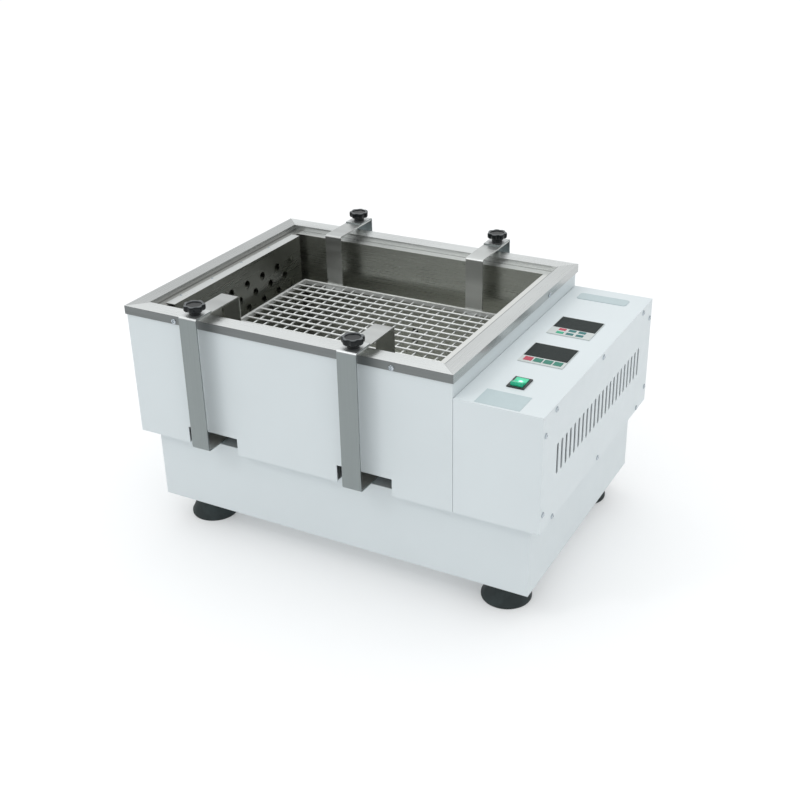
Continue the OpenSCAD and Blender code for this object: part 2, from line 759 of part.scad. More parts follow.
module control_box() color(white) placed() difference() {
    block([box_x0, housing_0, deck_z], [box_x1, housing_y1, box_z]);
    block([box_x0 + sheet, housing_0 + sheet, deck_z + sheet],
          [box_x1 - sheet, housing_y1 - sheet, box_z - sheet]);
    for (x = [box_x0 - cut, box_x1 - sheet - cut])
        translate([x, housing_0 + box_flange, deck_z + box_flange])
            cube([sheet + 2 * cut, housing_d - 2 * box_flange, box_h - 2 * box_flange]);
    controller_cut(speed_y);
    controller_cut(temperature_y);
    translate([switch_x, switch_y, box_z - sheet - cut])
        linear_extrude(sheet + 2 * cut)
            square([switch_w - 3 + 2 * key_gap, switch_l - 3 + 2 * key_gap], center = true);
    at_side_screws() translate([0, 0, -3 * sheet])
        cylinder(d = screw_d + 2 * screw_gap, h = 3 * sheet);
    translate([cable_x, cable_y, deck_z - cut]) cylinder(d = cable_d, h = sheet + 2 * cut);
    translate([inlet_x - inlet_w / 2 - key_gap, housing_y1 - sheet - cut,
               inlet_z - inlet_h / 2 - key_gap])
        cube([inlet_w + 2 * key_gap, sheet + 2 * cut, inlet_h + 2 * key_gap]);
}

module controller_cut(y) block(
    [face_x0 + body_inset - key_gap, y + body_inset - key_gap, box_z - sheet - cut],
    [face_x0 + face_w - body_inset + key_gap, y + face_w - body_inset + key_gap, box_z + cut]);

module side_panel() color(white) placed() difference() {
    block([box_x1, housing_0, deck_z], [side_x, housing_y1, box_z]);
    for (i = [0:slot_count - 1])
        translate([box_x1 - cut, (housing_0 + housing_y1) / 2 + (i - (slot_count - 1) / 2) * slot_pitch,
                   box_z - slot_drop])
            side_slot();
    at_side_screws() translate([0, 0, -sheet - cut])
        cylinder(d = screw_d + 2 * screw_gap, h = sheet + 2 * cut);
}

// A slot with round ends, hanging down from its top
module side_slot() {
    translate([0, -slot_w / 2, -slot_h + slot_w / 2]) cube([sheet + 2 * cut, slot_w, slot_h - slot_w]);
    for (z = [-slot_w / 2, -slot_h + slot_w / 2])
        translate([0, 0, z]) rotate([0, 90, 0]) cylinder(d = slot_w, h = sheet + 2 * cut, $fn = 24);
}

module side_panel_screws() color(steel) placed()
    at_side_screws() screw(screw_head_d, screw_head_h, screw_d, 3 * sheet);

// A controller: a thin face over a body that goes down through the panel
module controller(y, strip, keys, key_size) difference() {
    union() {
        block([face_x0, y, box_z], [face_x0 + face_w, y + face_w, box_z + face_t]);
        block([face_x0 + body_inset, y + body_inset, box_z - body_h],
              [face_x0 + face_w - body_inset, y + face_w - body_inset, box_z]);
    }
    block([face_x0 + window_edge - key_gap, y + strip, box_z + face_t - window_t],
          [face_x0 + face_w - window_edge + key_gap, y + face_w - window_edge + key_gap, box_z + 9]);
    for (k = keys)
        translate([k[0] - key_size[0] / 2 - key_gap, k[1] - key_size[1] / 2 - key_gap,
                   box_z + face_t + key_proud - key_t - key_travel - key_gap])
            cube([key_size[0] + 2 * key_gap, key_size[1] + 2 * key_gap, key_t + 9]);
}

module speed_controller() color([0.78, 0.81, 0.80]) placed()
    controller(speed_y, speed_strip, speed_keys, speed_key_size);

module temperature_controller() color([0.78, 0.81, 0.80]) placed()
    controller(temperature_y, temperature_strip, temperature_keys, temperature_key_size);

module display_windows() color([0.2, 0.23, 0.23]) placed()
    for (p = [[speed_y, speed_strip], [temperature_y, temperature_strip]])
        block([face_x0 + window_edge, p[0] + p[1] + key_gap, box_z + face_t - window_t],
              [face_x0 + face_w - window_edge, p[0] + face_w - window_edge, box_z + face_t]);

module key(place, size) placed()
    translate([place[0] - size[0] / 2, place[1] - size[1] / 2, box_z + face_t + key_proud - key_t])
        cube([size[0], size[1], key_t]);

module blank_labels() placed() {
    color([0.75, 0.81, 0.83])
        translate([panel_mid_x - 2 - front_label[0] / 2, label_y[0], box_z]) cube(front_label);
    color([0.76, 0.85, 0.86])
        translate([panel_mid_x - 2 - rear_label[0] / 2, label_y[1], box_z])
            rounded_plate(rear_label, 5);
}

// A plate with round corners
module rounded_plate(size, r) {
    translate([r, 0, 0]) cube([size[0] - 2 * r, size[1], size[2]]);
    translate([0, r, 0]) cube([size[0], size[1] - 2 * r, size[2]]);
    for (x = [r, size[0] - r]) for (y = [r, size[1] - r])
        translate([x, y, 0]) cylinder(r = r, h = size[2]);
}

module switch_bezel() color(dark) placed() translate([switch_x, switch_y, 0]) difference() {
    union() {
        translate([-switch_w / 2, -switch_l / 2, box_z]) cube([switch_w, switch_l, bezel_t]);
        translate([-switch_w / 2 + 1.5, -switch_l / 2 + 1.5, box_z - switch_body])
            cube([switch_w - 3, switch_l - 3, switch_body]);
    }
    translate([-rocker_x / 2 - rocker_side_gap, -rocker_y / 2 - 1, pivot_z - 7])
        cube([rocker_x + 2 * rocker_side_gap, rocker_y + 2, 12]);
    translate([-rocker_x / 2 - rocker_pin_l - 0.1, 0, pivot_z]) rotate([0, 90, 0])
        cylinder(d = rocker_pin_d + 2 * run_gap, h = rocker_x + 2 * rocker_pin_l + 0.2, $fn = 24);
}

// The rocker rests with its back end pressed in
module switch_rocker() color([0.1, 0.75, 0.45]) placed()
    translate([switch_x, switch_y, pivot_z]) rotate([-rocker_tilt, 0, 0]) {
        translate([-rocker_x / 2, 0, 0]) rotate([90, 0, 90]) linear_extrude(rocker_x)
            polygon([[-rocker_y / 2, 4.6], [0, 2.6], [rocker_y / 2, 4.6],
                     [rocker_y / 2, -1], [0, -5], [-rocker_y / 2, -1]]);
        translate([-rocker_x / 2 - rocker_pin_l, 0, 0]) rotate([0, 90, 0])
            cylinder(d = rocker_pin_d, h = rocker_x + 2 * rocker_pin_l, $fn = 24);
    }

// Mains inlet on the back of the control box
module power_inlet() color(dark) placed() translate([inlet_x, housing_y1, inlet_z]) {
    difference() {
        union() {
            translate([-inlet_ear / 2, 0, -inlet_flange_h / 2])
                cube([inlet_ear, inlet_flange_t, inlet_flange_h]);
            translate([-inlet_w / 2, -18, -inlet_h / 2]) cube([inlet_w, 18, inlet_h]);
        }
        translate([-inlet_recess[0] / 2, inlet_flange_t - inlet_recess[2], -inlet_recess[1] / 2])
            cube([inlet_recess[0], inlet_recess[2] + cut, inlet_recess[1]]);
        for (i = [-1, 1]) translate([i * 20, -cut, 0]) rotate([-90, 0, 0])
            cylinder(d = 3.5, h = inlet_flange_t + 2 * cut, $fn = 24);
    }
    for (p = [[-7, 1], [0, 5], [7, 1]])
        translate([p[0] - 1, inlet_flange_t - inlet_recess[2], p[1] - 2]) cube([2, 12, 4]);
}

// Solid-state relay for the heater, on the floor of the control box
module heater_relay() color([0.3, 0.3, 0.32]) placed() translate([relay_x, relay_y, deck_z + sheet]) {
    cube(relay_base);
    for (i = [0:relay_fins - 1])
        translate([relay_base[0] / 2 + (i - (relay_fins - 1) / 2) * relay_fin_pitch - relay_fin[0] / 2,
                   0, relay_base[2]])
            cube(relay_fin);
    translate([(relay_base[0] - relay_case[0]) / 2, relay_base[1] - relay_case[1], relay_base[2]])
        cube(relay_case);
}

module motor_bracket() color(steel) placed() translate([orbit_x + motor_reach, orbit_y, 0]) {
    leg = motor_r + bracket_room;
    difference() {
        translate([-leg, -motor_r, motor_z - bracket_t]) cube([2 * leg, 2 * motor_r, bracket_t]);
        translate([0, 0, motor_z - bracket_t - cut]) cylinder(r = bracket_hole_r, h = bracket_t + 2 * cut);
    }
    for (i = [0, 1]) mirror([i, 0, 0]) {
        translate([leg - bracket_t, -motor_r, motor_z])
            cube([bracket_t, 2 * motor_r, under_deck_z - motor_z]);
        translate([leg, -motor_r, under_deck_z - bracket_t]) cube([bracket_foot, 2 * motor_r, bracket_t]);
    }
}

module drive_motor() color([0.25, 0.27, 0.3]) placed()
    translate([orbit_x + motor_reach, orbit_y, motor_z]) difference() {
        cylinder(r = motor_r, h = motor_h);
        translate([0, 0, -cut]) cylinder(r = motor_shaft_r + run_gap, h = motor_shaft_in + 1 + cut);
    }

// A pulley with a flange above and below its belt groove
module pulley(groove_r) {
    translate([0, 0, pulley_z]) cylinder(r = groove_r, h = pulley_h);
    for (z = [pulley_z, pulley_z + pulley_h - pulley_flange_t])
        translate([0, 0, z]) cylinder(r = groove_r + pulley_flange_h, h = pulley_flange_t);
}

module motor_pulley() color(steel) placed() translate([orbit_x + motor_reach, orbit_y, 0]) {
    pulley(motor_pulley_r);
    translate([0, 0, pulley_z - shaft_end])
        cylinder(r = motor_shaft_r, h = motor_z - pulley_z + shaft_end + motor_shaft_in);
}

module belt_outline(extra) hull() {
    circle(r = driven_r + free_gap + extra, $fn = 96);
    translate([motor_reach, 0]) circle(r = motor_pulley_r + free_gap + extra, $fn = 96);
}

module drive_belt() color(dark) placed() at_orbit()
    translate([0, 0, pulley_z + pulley_flange_t + free_gap]) linear_extrude(belt_w) difference() {
        belt_outline(belt_t);
        belt_outline(0);
    }

module spindle_housing() color(steel) placed() at_orbit() difference() {
    union() {
        translate([0, 0, under_deck_z - housing_flange_h])
            cylinder(r = housing_flange_r, h = housing_flange_h);
        translate([0, 0, under_deck_z - housing_tube_h]) cylinder(r = housing_tube_r, h = housing_tube_h);
    }
    translate([0, 0, under_deck_z - housing_tube_h - cut])
        cylinder(r = bearing_d / 2 - bearing_step, h = housing_tube_h + 2 * cut);
    translate([0, 0, under_deck_z - bearing_h])
        cylinder(r = bearing_d / 2 + run_gap, h = bearing_h + cut);
    translate([0, 0, under_deck_z - housing_tube_h - cut])
        cylinder(r = bearing_d / 2 + run_gap, h = bearing_h + cut);
}

module spindle_bearings() color([0.75, 0.76, 0.78]) placed() at_orbit()
    for (z = [under_deck_z - bearing_h, under_deck_z - housing_tube_h])
        translate([0, 0, z]) ring(bearing_d, spindle_d + 2 * run_gap, bearing_h);

// Spindle, crank disc with its balance weight, and crank pin
module drive_spindle() color(steel) placed() at_orbit() {
    translate([0, 0, pulley_z - shaft_end]) cylinder(d = spindle_d, h = disc_z - pulley_z + shaft_end);
    translate([0, 0, under_deck_z]) cylinder(d = spindle_d + 2 * collar_edge, h = collar_t);
    translate([0, 0, disc_z]) cylinder(r = orbit_r + pin_d / 2 + disc_edge, h = disc_t);
    rotate([0, 0, crank_a + 180]) translate([weight_x, -weight[1] / 2, disc_z])
        cube([weight[0], weight[1], disc_t]);
    rotate([0, 0, crank_a]) translate([orbit_r, 0, disc_z])
        cylinder(d = pin_d - 2 * run_gap, h = pin_top_z - disc_z);
}

module driven_pulley() color([0.7, 0.71, 0.72]) placed() at_orbit() difference() {
    pulley(driven_r);
    translate([0, 0, pulley_z - cut]) cylinder(d = spindle_d + 2 * screw_gap, h = pulley_h + 2 * cut);
}

module idler_blocks() color(steel) placed() at_orbit() for (p = idler_places)
    translate([p[0], p[1], 0]) difference() {
        union() {
            translate([0, 0, under_deck_z - idler_block_h])
                cylinder(r = idler_shaft_d / 2 + idler_block_wall, h = idler_block_h);
            translate([0, 0, under_deck_z - idler_block_flange[1]])
                cylinder(r = idler_shaft_d / 2 + idler_block_flange[0], h = idler_block_flange[1]);
        }
        translate([0, 0, under_deck_z - idler_block_h - cut])
            cylinder(d = idler_shaft_d + 2 * run_gap, h = idler_block_h + 2 * cut);
    }

module idler_crank(p) color(steel) placed() at_orbit() translate([p[0], p[1], 0]) {
    translate([0, 0, under_deck_z - idler_block_h - collar_t])
        cylinder(d = idler_shaft_d, h = idler_block_h + 2 * collar_t);
    translate([0, 0, under_deck_z]) cylinder(d = idler_shaft_d + 2 * collar_edge, h = collar_t);
    translate([0, 0, disc_z]) cylinder(r = orbit_r + idler_pin_d / 2 + idler_disc_edge, h = disc_t);
    rotate([0, 0, crank_a]) translate([orbit_r, 0, disc_z])
        cylinder(d = idler_pin_d - 2 * free_gap, h = pin_top_z - disc_z);
}

module carriage_plate() color([0.7, 0.71, 0.72]) placed() at_carriage() difference() {
    translate([-carriage_w / 2, -carriage_d / 2, carriage_z - carriage_t])
        cube([carriage_w, carriage_d, carriage_t]);
    translate([0, 0, carriage_z - carriage_t - cut])
        cylinder(d = pin_d + 2 * ring_wall + 2 * screw_gap, h = carriage_t + 2 * cut);
    for (p = idler_places) translate([p[0], p[1], carriage_z - carriage_t - cut])
        cylinder(d = idler_pin_d + 2 * ring_wall + 2 * screw_gap, h = carriage_t + 2 * cut);
    at_strap_screws() translate([0, 0, -strap_t - carriage_t - cut])
        cylinder(d = strap_screw_d + 2 * screw_gap, h = strap_t + carriage_t + 2 * cut);
}

// A flanged ring that sits in the carriage plate
module carriage_ring(bore_d) {
    translate([0, 0, carriage_z - carriage_t - ring_low]) ring(bore_d + 2 * ring_wall, bore_d, ring_h);
    translate([0, 0, carriage_z])
        ring(bore_d + 2 * (ring_wall + ring_flange_w), bore_d + ring_wall, ring_flange_t);
}

module carriage_bearings() color([0.75, 0.76, 0.78]) placed() at_carriage() {
    carriage_ring(pin_d);
    for (p = idler_places) translate([p[0], p[1], 0]) carriage_ring(idler_pin_d);
}

// Puts children at each strap: X is the strap's middle, Y runs inward from its outer face
module at_straps() at_carriage() for (p = strap_places) at_strap(p) children();
module at_strap(p) mirror([0, p[1], 0])
    translate([p[0] * strap_pitch / 2, -strap_reach, 0]) children();

module at_strap_screws() for (p = strap_places) at_strap(p) for (u = strap_screw_u)
    translate([0, u, carriage_z + strap_t]) children();

function strap_outline(h) = concat(
    [[strap_foot, 0]],
    arc([bend_r, bend_r], bend_r, 270, 180),
    arc([bend_r, h - bend_r], bend_r, 180, 90),
    [[strap_flange, h], [strap_flange, h - strap_t]],
    arc([bend_r, h - bend_r], bend_r - strap_t, 90, 180),
    arc([bend_r, bend_r], bend_r - strap_t, 180, 270),
    [[strap_foot, strap_t]]
);

module outer_straps() color(steel) placed() difference() {
    at_straps() translate([-strap_w / 2, 0, carriage_z]) rotate([90, 0, 90])
        linear_extrude(strap_w) polygon(strap_outline(strap_top_z - carriage_z));
    at_straps() translate([0, knob_u, strap_top_z - strap_t - cut])
        cylinder(d = stud_d + 2 * free_gap, h = strap_t + 2 * cut);
    at_carriage() at_strap_screws() translate([0, 0, -strap_t - cut])
        cylinder(d = strap_screw_d + 2 * screw_gap, h = strap_t + 2 * cut);
}

module strap_screws() color(steel) placed() at_carriage() at_strap_screws()
    screw(strap_screw_head_d, strap_screw_head_h, strap_screw_d, strap_t + carriage_t);

function hanger_outline(h) = concat(
    [[0, h - hanger_t], [0, h]],
    arc([hanger_bend - bend_r, h - bend_r], bend_r, 90, 0),
    [[hanger_bend, hanger_t], [hanger_bend + hanger_foot, hanger_t], [hanger_bend + hanger_foot, 0],
     [hanger_bend - hanger_t, 0]],
    arc([hanger_bend - bend_r, h - bend_r], bend_r - hanger_t, 0, 90)
);

// Hangers with the welded nuts that the knobs clamp into
module tray_hangers() color(steel) placed() difference() {
    union() {
        at_straps() translate([-hanger_w / 2, hanger_u0, tray_bottom_z - hanger_t]) rotate([90, 0, 90])
            linear_extrude(hanger_w)
                polygon(hanger_outline(hanger_top_z - tray_bottom_z + hanger_t));
        at_straps() translate([0, knob_u, hanger_top_z - hanger_t - nut_h]) cylinder(d = nut_d, h = nut_h);
    }
    at_straps() translate([0, knob_u, hanger_top_z - hanger_t - nut_h - cut])
        cylinder(d = stud_d + 2 * free_gap, h = nut_h + hanger_t + 2 * cut);
}

// Welded tray: a frame of flat bar filled with a mesh of crossing rods
module shaking_tray() color([0.8, 0.81, 0.81]) placed() at_carriage() {
    inner_w = tray_w - 2 * bar_w;
    inner_d = tray_d - 2 * bar_w;
    // The rods end inside the frame bar, a little under its top
    weld_in = 1.5;
    rod_z = tray_z - rod_cover - rod_d / 2;
    cross_z = tray_bottom_z + rod_cover + cross_d / 2;
    difference() {
        translate([-tray_w / 2, -tray_d / 2, tray_bottom_z]) cube([tray_w, tray_d, bar_h]);
        translate([-inner_w / 2, -inner_d / 2, tray_bottom_z - cut])
            cube([inner_w, inner_d, bar_h + 2 * cut]);
    }
    // The mesh is cut from a larger one, so it is whole at the back and at the left
    for (i = [1:floor((inner_d - rod_d) / mesh_y)])
        translate([-inner_w / 2 - weld_in, inner_d / 2 - i * mesh_y, rod_z])
            rotate([0, 90, 0]) cylinder(d = rod_d, h = inner_w + 2 * weld_in);
    for (i = [1:floor((inner_w - cross_d) / mesh_x)])
        translate([-inner_w / 2 + i * mesh_x, -inner_d / 2 - weld_in, cross_z])
            rotate([-90, 0, 0]) cylinder(d = cross_d, h = inner_d + 2 * weld_in);
}

// Star knob with its stud through the strap and the hanger
module clamp_knob(p) color(dark) placed() at_carriage() at_strap(p)
    translate([0, knob_u, strap_top_z + knob_gap]) {
        translate([0, 0, -knob_gap - strap_t - hanger_t - nut_h - 1])
            cylinder(d = stud_d, h = knob_gap + strap_t + hanger_t + nut_h + 1);
        cylinder(d = 0.62 * knob_d, h = knob_neck);
        translate([0, 0, knob_neck]) difference() {
            cylinder(d = knob_d, h = knob_head);
            for (i = [0:knob_lobes - 1]) rotate([0, 0, (i + 0.5) * 360 / knob_lobes])
                translate([knob_d / 2 + 2, 0, -cut]) cylinder(r = 4.6, h = knob_head + 2 * cut);
            translate([0, 0, knob_head - 1]) cylinder(d = 0.66 * knob_d, h = 1 + cut);
        }
    }

module speed_key(i) color(i == 0 ? key_red : key_green) key(speed_keys[i], speed_key_size);
module temperature_key(i)
    color(i == 0 ? key_red : i == 3 ? key_bright : key_green)
        key(temperature_keys[i], temperature_key_size);

base_shell();
base_bottom_plate();
rubber_feet();
foot_bolts();
upper_housing();
tank();
rim_frame();
rim_screws();
perforated_partition();
heater_element();
temperature_probe();
tank_insulation();
drain_fitting();
drain_valve_body();
drain_lever();
control_box();
side_panel();
side_panel_screws();
switch_bezel();
switch_rocker();
speed_controller();
temperature_controller();
display_windows();
blank_labels();
power_inlet();
heater_relay();
motor_bracket();
drive_motor();
motor_pulley();
drive_belt();
spindle_housing();
spindle_bearings();
drive_spindle();
driven_pulley();
idler_blocks();
idler_crank(idler_places[0]);  // idler_crank_1
idler_crank(idler_places[1]);  // idler_crank_2
idler_crank(idler_places[2]);  // idler_crank_3
idler_crank(idler_places[3]);  // idler_crank_4
carriage_plate();
carriage_bearings();
outer_straps();
strap_screws();
tray_hangers();
shaking_tray();
clamp_knob(strap_places[0]);  // clamp_knob_1
clamp_knob(strap_places[1]);  // clamp_knob_2
clamp_knob(strap_places[2]);  // clamp_knob_3
clamp_knob(strap_places[3]);  // clamp_knob_4
speed_key(0);  // speed_key_1
speed_key(1);  // speed_key_2
speed_key(2);  // speed_key_3
speed_key(3);  // speed_key_4
temperature_key(0);  // temperature_key_1
temperature_key(1);  // temperature_key_2
temperature_key(2);  // temperature_key_3
temperature_key(3);  // temperature_key_4
temperature_key(4);  // temperature_key_5
temperature_key(5);  // temperature_key_6
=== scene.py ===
"""Looks of a shaking water bath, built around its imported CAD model. Metres, in the model's frame."""

import json
import math

import bmesh
import bpy
from mathutils import Matrix, Vector


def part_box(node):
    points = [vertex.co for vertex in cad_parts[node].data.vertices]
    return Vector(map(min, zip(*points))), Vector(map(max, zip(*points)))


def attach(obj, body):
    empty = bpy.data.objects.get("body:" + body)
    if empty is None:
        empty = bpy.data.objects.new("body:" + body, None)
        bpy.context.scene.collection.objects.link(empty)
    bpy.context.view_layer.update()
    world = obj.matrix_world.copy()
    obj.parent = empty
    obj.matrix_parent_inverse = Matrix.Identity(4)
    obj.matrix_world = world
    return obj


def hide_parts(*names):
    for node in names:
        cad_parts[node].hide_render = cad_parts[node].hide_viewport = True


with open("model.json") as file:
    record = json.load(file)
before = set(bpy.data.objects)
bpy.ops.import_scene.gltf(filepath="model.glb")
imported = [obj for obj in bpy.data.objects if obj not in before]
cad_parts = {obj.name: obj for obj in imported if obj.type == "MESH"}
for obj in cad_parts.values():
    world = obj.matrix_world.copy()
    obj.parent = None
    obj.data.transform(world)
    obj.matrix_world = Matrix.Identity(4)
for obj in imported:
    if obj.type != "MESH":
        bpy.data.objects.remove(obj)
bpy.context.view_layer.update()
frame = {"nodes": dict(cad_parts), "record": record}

NODES = frame["nodes"]
BODY_OF = {n: b for b, ns in frame["record"]["behaviour"]["bodies"].items() for n in ns}
SLOT_OF = {s["node"]: s["material_slot"] for s in frame["record"]["subparts"]}
MM = 0.001

# Main places, read from the model
RIM_LOW, RIM_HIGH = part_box("rim_frame")
TANK_LOW, TANK_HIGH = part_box("tank")
BOX_LOW, BOX_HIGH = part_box("control_box")
LEDGE_Z = TANK_HIGH.z
RIM_MID = (RIM_LOW + RIM_HIGH) / 2
SHEET = 1.5 * MM
UNDER_LEDGE = LEDGE_Z - 3 * MM

# Bands on the border and the ledge, in metres from the rim's outer sides: the border's inner step, the
# painted shadow along the border's inner edge, the ledge's dark seam, partly painted shadow, and the lighter
# band in the ledge's painted shade
STEP_FROM = 0.010
BORDER_SHADOW = (0.0243, 0.0250)
BORDER_SHADOW_FROM_END = 0.0265
LEDGE_SEAM_AND_SHADOW = (0.0254, 0.0262)
LEDGE_LIGHTER_BAND = (0.0295, 0.0335)
# The bath's walls, from the rim's outer sides, and where the painted shade on the ledge at the left ends and
# fades out
BATH_WALL_X, BATH_WALL_Y = 41.7 * MM, 43.7 * MM
SHADE_END, SHADE_FADE = 40 * MM, 44 * MM


# ---------- camera, light and floor ----------

# The camera as fitted to the photo's corners
LENS_MM, SENSOR_MM = 53.107, 36.0
CAMERA_PLACE = Vector((0.8033, -1.4526, 1.0269))
CAMERA_RIGHT = Vector((0.88046486, 0.47373482, -0.01889296))
CAMERA_UP = Vector((-0.199368, 0.406104, 0.891814))
CAMERA_AHEAD = Vector((-0.4301559, 0.78144435, -0.45200733))

# World brightness from the horizon (0) to straight up (1), so upright sides are a little darker than tops
SKY_LOW, SKY_HIGH = (0.24, 0.25, 0.26, 1), (1.30, 1.31, 1.31, 1)
SKY_BETWEEN = ((0.15, 0.46), (0.40, 0.97))

FLOOR_SIZE = 60
FLOOR_COLOUR, FLOOR_GLOW = (0.73, 0.735, 0.74, 1), 0.22

# Name, place, size and watts of each lamp. All of them point at LIGHT_TARGET
LIGHT_TARGET = (0, 0, 0.2)
LIGHTS = (
    ("key_light", (-1.2, -2.2, 2.6), (0.32, 0.32), 8),
    ("top_light", (0.3, 0.4, 2.8), (2.2, 1.6), 3),
    ("right_light", (2.6, 0.2, 1.6), (1.2, 1.4), 1.5),
)


def make_camera():
    data = bpy.data.cameras.new("camera")
    data.lens, data.sensor_width = LENS_MM, SENSOR_MM
    data.clip_start, data.clip_end = 0.01, 100
    cam = bpy.data.objects.new("camera", data)
    turn = Matrix((CAMERA_RIGHT, CAMERA_UP, -CAMERA_AHEAD)).transposed().to_4x4()
    cam.matrix_world = Matrix.Translation(CAMERA_PLACE) @ turn
    bpy.context.scene.collection.objects.link(cam)
    bpy.context.scene.camera = cam


def area_light(name, place, size, watts):
    data = bpy.data.lights.new(name, "AREA")
    data.shape, data.size, data.size_y = "RECTANGLE", size[0], size[1]
    data.energy = watts
    lamp = bpy.data.objects.new(name, data)
    lamp.location = place
    lamp.rotation_euler = (Vector(LIGHT_TARGET) - Vector(place)).to_track_quat("-Z", "Y").to_euler()
    bpy.context.scene.collection.objects.link(lamp)


def make_world():
    world = bpy.data.worlds.new("studio")
    world.use_nodes = True
    bpy.context.scene.world = world
    tree = world.node_tree
    back = tree.nodes["Background"]
    coord = tree.nodes.new("ShaderNodeTexCoord")
    split = tree.nodes.new("ShaderNodeSeparateXYZ")
    ramp = tree.nodes.new("ShaderNodeValToRGB")
    elements = ramp.color_ramp.elements
    elements[0].position, elements[0].color = 0.0, SKY_LOW
    elements[1].position, elements[1].color = 1.0, SKY_HIGH
    for place, tone in SKY_BETWEEN:
        elements.new(place).color = (tone, tone * 1.01, tone * 1.015, 1)
    tree.links.new(coord.outputs["Generated"], split.inputs[0])
    tree.links.new(split.outputs["Z"], ramp.inputs["Fac"])
    tree.links.new(ramp.outputs["Color"], back.inputs["Color"])
    back.inputs["Strength"].default_value = 1.0


def make_floor():
    bpy.ops.mesh.primitive_plane_add(size=FLOOR_SIZE, location=(0, 0, 0))
    floor = bpy.context.object
    floor.name = "studio_floor"
    mat = bpy.data.materials.new("floor_paper")
    mat.use_nodes = True
    bsdf = mat.node_tree.nodes["Principled BSDF"]
    bsdf.inputs["Base Color"].default_value = FLOOR_COLOUR
    bsdf.inputs["Roughness"].default_value = 0.9
    bsdf.inputs["Emission Color"].default_value = (1, 1, 1, 1)
    bsdf.inputs["Emission Strength"].default_value = FLOOR_GLOW
    floor.data.materials.append(mat)


# ---------- materials ----------

def rgba(value):
    """A colour with its alpha, and anything else as it is."""
    return (*value, 1) if isinstance(value, tuple) and len(value) == 3 else value


def shaded(colour, factor):
    return tuple(c * factor for c in colour)


class Shader:
    """One material's node tree, with short calls for the nodes that the finishes use."""

    def __init__(self, name, **sockets):
        self.mat = bpy.data.materials.new(name)
        self.mat.use_nodes = True
        self.tree = self.mat.node_tree
        self.bsdf = self.tree.nodes["Principled BSDF"]
        coord = self.add("ShaderNodeTexCoord")
        self.coord, self.normal = coord.outputs["Object"], coord.outputs["Normal"]
        for key, value in sockets.items():
            self.bsdf.inputs[key.replace("_", " ")].default_value = rgba(value)

    def add(self, kind, **settings):
        node = self.tree.nodes.new(kind)
        for key, value in settings.items():
            setattr(node, key, value)
        return node

    def put(self, value, socket):
        if isinstance(value, bpy.types.NodeSocket):
            self.tree.links.new(value, socket)
        else:
            socket.default_value = value

    def math(self, kind, a, b=0.0, c=0.0):
        node = self.add("ShaderNodeMath", operation=kind)
        for value, socket in zip((a, b, c), node.inputs):
            self.put(value, socket)
        return node.outputs[0]

    def axes(self):
        node = self.add("ShaderNodeSeparateXYZ")
        self.put(self.coord, node.inputs[0])
        return node.outputs

    def faces(self, axis="Z", start=0.15, end=0.6):
        """1 on faces that look along an axis, 0 on faces square to it or turned away."""
        node = self.add("ShaderNodeSeparateXYZ")
        self.put(self.normal, node.inputs[0])
        return self.span(node.outputs[axis], 0, 1, start, end)

    def stripe(self, value, low, high, soft=0.0003):
        """1 where value lies between low and high."""
        return self.math("MULTIPLY", self.span(value, 0, 1, low - soft, low),
                         self.span(value, 1, 0, high, high + soft))

    def from_rim(self):
        """Distances from the rim's nearer left or right side, and from its nearer front or back."""
        x, y, _ = self.axes()
        half = (RIM_HIGH - RIM_LOW) / 2
        return tuple(
            self.math("SUBTRACT", reach, self.math("ABSOLUTE", self.math("SUBTRACT", place, mid)))
            for reach, place, mid in ((half.x, x, RIM_MID.x), (half.y, y, RIM_MID.y)))

    def noise(self, scale, detail=3.0, stretch=(1, 1, 1), rough=0.5, offset=(0, 0, 0)):
        mapping = self.add("ShaderNodeMapping")
        mapping.inputs["Scale"].default_value = stretch
        mapping.inputs["Location"].default_value = offset
        self.put(self.coord, mapping.inputs["Vector"])
        node = self.add("ShaderNodeTexNoise")
        node.inputs["Scale"].default_value = scale
        node.inputs["Detail"].default_value = detail
        node.inputs["Roughness"].default_value = rough
        self.put(mapping.outputs[0], node.inputs["Vector"])
        return node.outputs["Fac"]

    def span(self, value, low, high, start=0.3, end=0.7):
        node = self.add("ShaderNodeMapRange")
        node.inputs["From Min"].default_value = start
        node.inputs["From Max"].default_value = end
        node.inputs["To Min"].default_value = low
        node.inputs["To Max"].default_value = high
        self.put(value, node.inputs["Value"])
        return node.outputs["Result"]

    def mix(self, factor, a, b):
        node = self.add("ShaderNodeMix", data_type="RGBA")
        self.put(factor, node.inputs[0])
        for value, socket in ((a, node.inputs[6]), (b, node.inputs[7])):
            self.put(rgba(value), socket)
        return node.outputs[2]

    def blend(self, factor, a, b):
        node = self.add("ShaderNodeMix", data_type="FLOAT")
        for value, socket in ((factor, node.inputs[0]), (a, node.inputs[2]), (b, node.inputs[3])):
            self.put(value, socket)
        return node.outputs[0]

    def satin(self, fine, broad, rough):
        """Roughness of rolled or brushed sheet: fine grain with slow dull patches."""
        grain = self.span(fine, rough - 0.05, rough + 0.06)
        self.rough(self.math("ADD", grain, self.span(broad, -0.04, 0.05)))

    def colour(self, value):
        self.put(value, self.bsdf.inputs["Base Color"])

    def rough(self, value):
        self.put(value, self.bsdf.inputs["Roughness"])

    def bump(self, height, strength, distance):
        node = self.add("ShaderNodeBump")
        node.inputs["Strength"].default_value = strength
        node.inputs["Distance"].default_value = distance
        self.put(height, node.inputs["Height"])
        self.put(node.outputs[0], self.bsdf.inputs["Normal"])


def paint(name, colour):
    """Powder coat: slow tone change, uneven gloss and fine orange peel."""
    rough = 0.42
    s = Shader(name, Specular_IOR_Level=0.45)
    s.colour(s.mix(s.span(s.noise(7, 4), 0, 1), shaded(colour, 0.97), colour))
    s.rough(s.span(s.noise(45, 4), rough - 0.05, rough + 0.05))
    s.bump(s.noise(850, 2), 0.10, 0.00012)
    return s.mat


